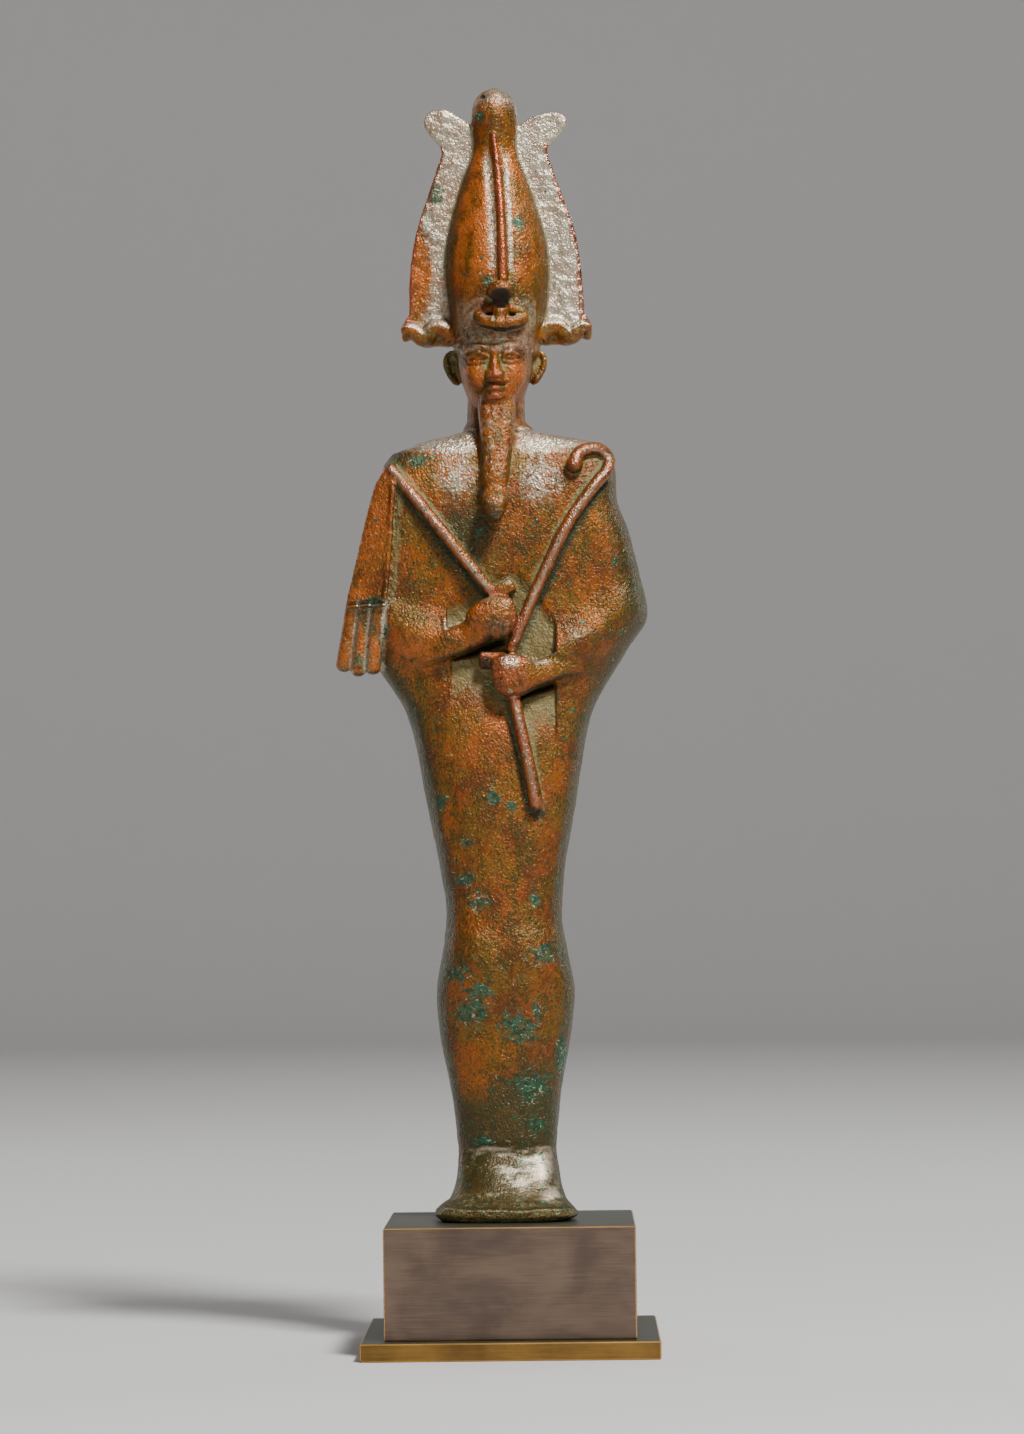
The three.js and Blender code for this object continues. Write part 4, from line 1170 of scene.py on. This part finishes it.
class Finish:
    """A material that is written as sums on signals."""

    def __init__(self, name):
        self.material = bpy.data.materials.new(name)
        self.material.use_nodes = True
        self.tree = self.material.node_tree
        self.shader = self.tree.nodes["Principled BSDF"]
        self.place = Signal(self, self.tree.nodes.new("ShaderNodeTexCoord").outputs["Object"])

    def feed(self, socket, value):
        if isinstance(value, Signal):
            self.tree.links.new(value.socket, socket)
        else:
            socket.default_value = value

    def node(self, kind, settings=None, inputs=(), output=0):
        """Adds a node: its settings first, then the values or links of its sockets."""
        made = self.tree.nodes.new(kind)
        for name, value in (settings or {}).items():
            setattr(made, name, value)
        pairs = inputs.items() if isinstance(inputs, dict) else enumerate(inputs)
        for key, value in pairs:
            self.feed(made.inputs[key], value)
        return Signal(self, made.outputs[output])

    def mask(self, name):
        return self.node("ShaderNodeAttribute", {"attribute_name": name}, output="Fac")

    def grain(self, size, detail=2.0, stretch=None, distortion=0.0, shift=0.0):
        """Noise from 0 to 1 with features of one size in metres, stretched along an axis if asked."""
        inputs = {"Vector": self.place, "Scale": stretch or (1, 1, 1), "Location": (shift, 0, 0)}
        place = self.node("ShaderNodeMapping", {}, inputs)
        inputs = {"Vector": place, "Scale": 1 / size, "Detail": detail, "Distortion": distortion}
        return self.node("ShaderNodeTexNoise", {}, inputs)

    def specks(self, size):
        """Distance to the nearest of many scattered points."""
        return self.node("ShaderNodeTexVoronoi", {}, {"Vector": self.place, "Scale": 1 / size})

    def mix(self, share, first, second):
        """Two colours, each a signal or a hex code, mixed by a share."""
        first, second = (tone(look) if isinstance(look, str) else look for look in (first, second))
        return self.node("ShaderNodeMix", {"data_type": "RGBA"}, {0: share, 6: first, 7: second}, output=2)

    def parts_of(self, vector):
        split = self.tree.nodes.new("ShaderNodeSeparateXYZ")
        self.feed(split.inputs[0], vector)
        return [Signal(self, output) for output in split.outputs]

    def bump(self, height, distance, strength=1.0):
        inputs = {"Height": height, "Distance": distance, "Strength": strength}
        return self.node("ShaderNodeBump", {}, inputs)

    def set(self, **values):
        for name, value in values.items():
            self.feed(self.shader.inputs[name.replace("_", " ")], value)


def tone(code):
    """A colour from its hex code, as Blender's linear values."""
    channels = [int(code[i:i + 2], 16) / 255 for i in (0, 2, 4)]
    return (*[c / 12.92 if c <= 0.04045 else ((c + 0.055) / 1.055) ** 2.4 for c in channels], 1)


def patina():
    """Old bronze: mottled orange, red-brown and ochre, with olive edges partly of painted shade, dust,
    green and worn ridges, painted shade and shadow in dark olive and black, and pale silver with painted
    highlights.
    """
    f = Finish("bronze_patina")
    middle = f.grain(0.0034, 5.0, (1, 1, 0.7), 0.4, 3.0)
    small = f.grain(0.0012, 4.0, shift=5.0)
    fine = f.grain(0.0004, 3.0, (1, 1, 0.7), shift=9.0)
    worn, hollow, dust, black = f.mask("worn"), f.mask("hollow"), f.mask("dust"), f.mask("black")
    green, dark, bright = f.mask("green"), f.mask("dark"), f.mask("bright")
    satin_and_sheen, warm = f.mask("satin_and_sheen"), f.mask("warm")

    clouds = (f.grain(0.010, 3.0) + 0.8 * (middle - 0.5) + 0.6 * (small - 0.5)).step(0.3, 0.7)
    colour = f.mix(clouds, "66350a", "98530b")
    colour = f.mix(0.6 * (middle + 0.7 * (small - 0.5)).step(0.53, 0.66), colour, "86380e")
    ochre = (f.grain(0.008, 3.0, shift=15.0) + 0.8 * (small - 0.5)).step(0.46, 0.62)
    colour = f.mix(0.6 * ochre, colour, "6c540d")
    olive = (f.grain(0.0028, 5.0, (1, 1, 0.55), 0.6, 21.0) + 0.9 * (fine - 0.5)).step(0.5, 0.64)
    colour = f.mix(0.7 * olive, colour, "3f3c06")
    colour = f.mix(warm * (0.75 * middle + 0.25 * small).step(0.32, 0.6), colour, "bc6222")
    speck = (fine + 0.3 * (small - 0.5)).step(0.53, 0.68)
    colour = f.mix(0.5 * speck, colour, "1c1a08")
    # dark olive from the dark mask: patina mottling together with painted shade
    shade = (dark + 0.3 * green + 0.7 * (middle - 0.5) + 0.8 * (fine - 0.5)).step(0.2, 0.85)
    colour = f.mix(0.85 * shade, colour, "34381c")
    # pale silver from the bright mask: silver patina together with painted highlights, streaked on the
    # instep
    streaks = f.grain(0.0008, 3.0, (0.25, 1, 1), shift=71.0)
    broken = (0.8 * (small - 0.5) + 0.7 * (fine - 0.5)) * (1 - 0.7 * satin_and_sheen)
    pale = (bright + broken + 0.6 * satin_and_sheen * (streaks - 0.5)).step(0.36, 0.92)
    silver = f.mix(middle.step(0.4, 0.6), "cac0a8", "b8a48e")
    colour = f.mix(0.9 * pale, colour, silver)
    khaki = (hollow + dust + 0.8 * (small - 0.5) + 1.1 * (fine - 0.5)).step(0.3, 0.85)
    colour = f.mix(0.8 * khaki, colour, "736a3e")
    salmon = (worn + 0.9 * (small - 0.5)).step(0.4, 0.8)
    colour = f.mix(0.7 * salmon, colour, "a4553a")
    ragged = 2.4 * (f.grain(0.0026, 8.0, (0.6, 1, 1.4), 2.0, 31.0) - 0.5) + 0.8 * (fine - 0.5)
    cluster = (0.9 * green + ragged).step(0.42, 0.68)
    stray = (f.grain(0.0016, 5.0, shift=41.0) + 0.04 * dark).step(0.655, 0.7)
    verdigris = f.mix(small.step(0.35, 0.65), "0b3a26", "226048")
    colour = f.mix(0.8 * cluster.most(stray), colour, verdigris)
    chalk = f.grain(0.0009, 4.0, (0.6, 1, 1), 1.4, 51.0) + 0.1 * green + 0.02 * dark + 0.05 * dust
    colour = f.mix(0.65 * chalk.step(0.68, 0.74), colour, "a9b292")
    # near black from the black mask: painted shade and shadow
    colour = f.mix(0.9 * black.step(0.1, 0.5), colour, "15150f")

    rough = 0.37 + 0.3 * (small - 0.5) - 0.06 * worn + 0.15 * khaki + 0.1 * cluster
    rough = rough - 0.1 * pale + 0.4 * black + 0.22 * satin_and_sheen * pale
    height = 0.7 * f.grain(0.0007, 4.0, (1, 1, 0.8), 1.2, 61.0) + 0.3 * fine + 0.3 * f.specks(0.0006)
    height = height * (1 - 0.7 * satin_and_sheen) + 0.25 * streaks * satin_and_sheen
    metallic = 0.45 + 0.2 * salmon + 0.35 * pale - 0.3 * khaki
    f.set(Base_Color=colour, Roughness=rough, Metallic=metallic, Normal=f.bump(height, 0.0004))
    f.shader.inputs["IOR"].default_value = 1.5
    return f.material


def stand_metal(name, low, high, colours, top_tone, edge_tone):
    """Brushed metal with fine lines across, cloudy stains, a darker top and thin rubbed edges."""
    edge_width, top_depth = 0.00032, 0.00003
    f = Finish(name)
    x, y, z = f.parts_of(f.place)
    lines = 0.6 * f.grain(0.00025, 3.0, (0.03, 1, 1)) + 0.4 * f.grain(0.0004, 3.0, (0.04, 1, 1), shift=7.0)
    stain = f.grain(0.014, 4.0, (0.8, 1, 1), 0.8)
    stain = stain + 0.4 * (f.grain(0.004, 4.0, (0.5, 1, 1), shift=3.0) - 0.5)
    gaps = [(top - foot) / 2 - abs(at - (top + foot) / 2) for at, foot, top in zip((x, y, z), low, high)]
    close = [1 - gap.step(edge_width * 0.6, edge_width) for gap in gaps]
    rim = (close[0] * close[1]).most(close[1] * close[2]).most(close[0] * close[2])
    brushed = (0.7 * stain + 0.3 * lines + 0.2 * (lines - 0.5)).step(0.3, 0.7)
    colour = f.mix(brushed, *colours)
    colour = f.mix(z.step(high[2] - top_depth, high[2] - top_depth / 3), colour, top_tone)
    colour = f.mix(rim * lines.step(0.1, 0.5), colour, edge_tone)
    rough = 0.36 + 0.3 * (lines - 0.5) - 0.1 * rim
    f.set(Base_Color=colour, Roughness=rough, Metallic=0.7, Normal=f.bump(lines, 0.00003, 0.7))
    return f.material


casting.data.materials.append(patina())
for node, low, high, looks in (
    ("plinth_block", BLOCK_LOW, BLOCK_HIGH, (("5e4f46", "7e6a5a"), "55544a", "e8b058")),
    ("base_plate", PLATE_LOW, PLATE_HIGH, (("6b4f26", "947036"), "4e4f44", "e8b058")),
):
    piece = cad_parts[node]
    piece.data.materials.clear()
    piece.data.materials.append(stand_metal(node + "_metal", low, high, *looks))


# Camera: the photograph's place, direction and slight tilt
LENS = 115.5
CAMERA_PLACE = (0.0139, -1.0296, 0.0957)
YAW, PITCH, ROLL = math.radians(0.686), math.radians(2.491), math.radians(-0.68)

# Studio: radius of the flat floor, radius of its sweep and height of the wall
FLOOR_REACH = 2.5
SWEEP = 0.9
WALL_TOP = 3.9


def make_camera():
    camera = bpy.data.objects.new("camera", bpy.data.cameras.new("camera"))
    bpy.context.scene.collection.objects.link(camera)
    camera.data.lens = LENS
    camera.data.clip_start = 0.01
    yaw, roll = Matrix.Rotation(YAW, 4, "Z"), Matrix.Rotation(ROLL, 4, "Z")
    pitch = Matrix.Rotation(math.pi / 2 + PITCH, 4, "X")
    camera.matrix_world = Matrix.Translation(CAMERA_PLACE) @ yaw @ pitch @ roll
    bpy.context.scene.camera = camera


def make_light(name, place, target, size, power):
    lamp = bpy.data.lights.new(name, "AREA")
    lamp.shape = "RECTANGLE"
    lamp.size, lamp.size_y = size
    lamp.energy = power
    light = bpy.data.objects.new(name, lamp)
    light.location = place
    light.rotation_mode = "QUATERNION"
    light.rotation_quaternion = (Vector(target) - Vector(place)).to_track_quat("-Z", "Y")
    bpy.context.scene.collection.objects.link(light)


def make_studio():
    """A pale round floor that sweeps up into a wall, a soft key from the upper right and weaker lights."""
    deselect()
    reach, height = FLOOR_REACH + SWEEP, WALL_TOP
    bpy.ops.mesh.primitive_circle_add(vertices=96, radius=reach, fill_type="NOTHING")
    floor = bpy.context.object
    floor.name = "studio_floor"
    bpy.ops.object.mode_set(mode="EDIT")
    bpy.ops.mesh.select_all(action="SELECT")
    bpy.ops.transform.translate(value=(0, 0, height))
    for turn in np.linspace(math.pi / 2, 0, 17):
        new_reach, new_height = FLOOR_REACH + SWEEP * math.sin(turn), SWEEP * (1 - math.cos(turn))
        bpy.ops.mesh.extrude_region_move(TRANSFORM_OT_translate={"value": (0, 0, new_height - height)})
        share = new_reach / reach
        bpy.ops.transform.resize(value=(share, share, 1), center_override=(0, 0, 0))
        reach, height = new_reach, new_height
    bpy.ops.mesh.edge_face_add()
    bpy.ops.mesh.select_all(action="SELECT")
    bpy.ops.mesh.normals_make_consistent(inside=True)
    bpy.ops.object.mode_set(mode="OBJECT")
    bpy.ops.object.shade_smooth()
    paint = bpy.data.materials.new("pale_floor")
    paint.use_nodes = True
    shader = paint.node_tree.nodes["Principled BSDF"]
    shader.inputs["Base Color"].default_value = (0.6, 0.59, 0.58, 1)
    shader.inputs["Roughness"].default_value = 0.9
    floor.data.materials.append(paint)
    middle = (0, 0, 0.16)
    make_light("key", (0.44, -0.7, 1.15), middle, (0.22, 0.22), 31)
    make_light("front", (0.34, -1.5, 0.5), middle, (0.8, 0.6), 1.2)
    make_light("left_rim", (-0.7, 0.75, 0.4), middle, (0.15, 0.9), 1.9)
    make_light("left", (-0.9, -1.0, 0.5), middle, (0.5, 0.5), 0.9)
    make_light("right_rim", (0.7, 0.75, 0.4), middle, (0.15, 0.9), 1.9)
    make_light("wall", (0, 0.7, 1.6), (0, 2.6, 0.3), (1.6, 0.5), 20)
    world = bpy.data.worlds.new("studio")
    world.use_nodes = True
    world.node_tree.nodes["Background"].inputs["Color"].default_value = (0.55, 0.56, 0.58, 1)
    world.node_tree.nodes["Background"].inputs["Strength"].default_value = 0.04
    bpy.context.scene.world = world


make_camera()
make_studio()
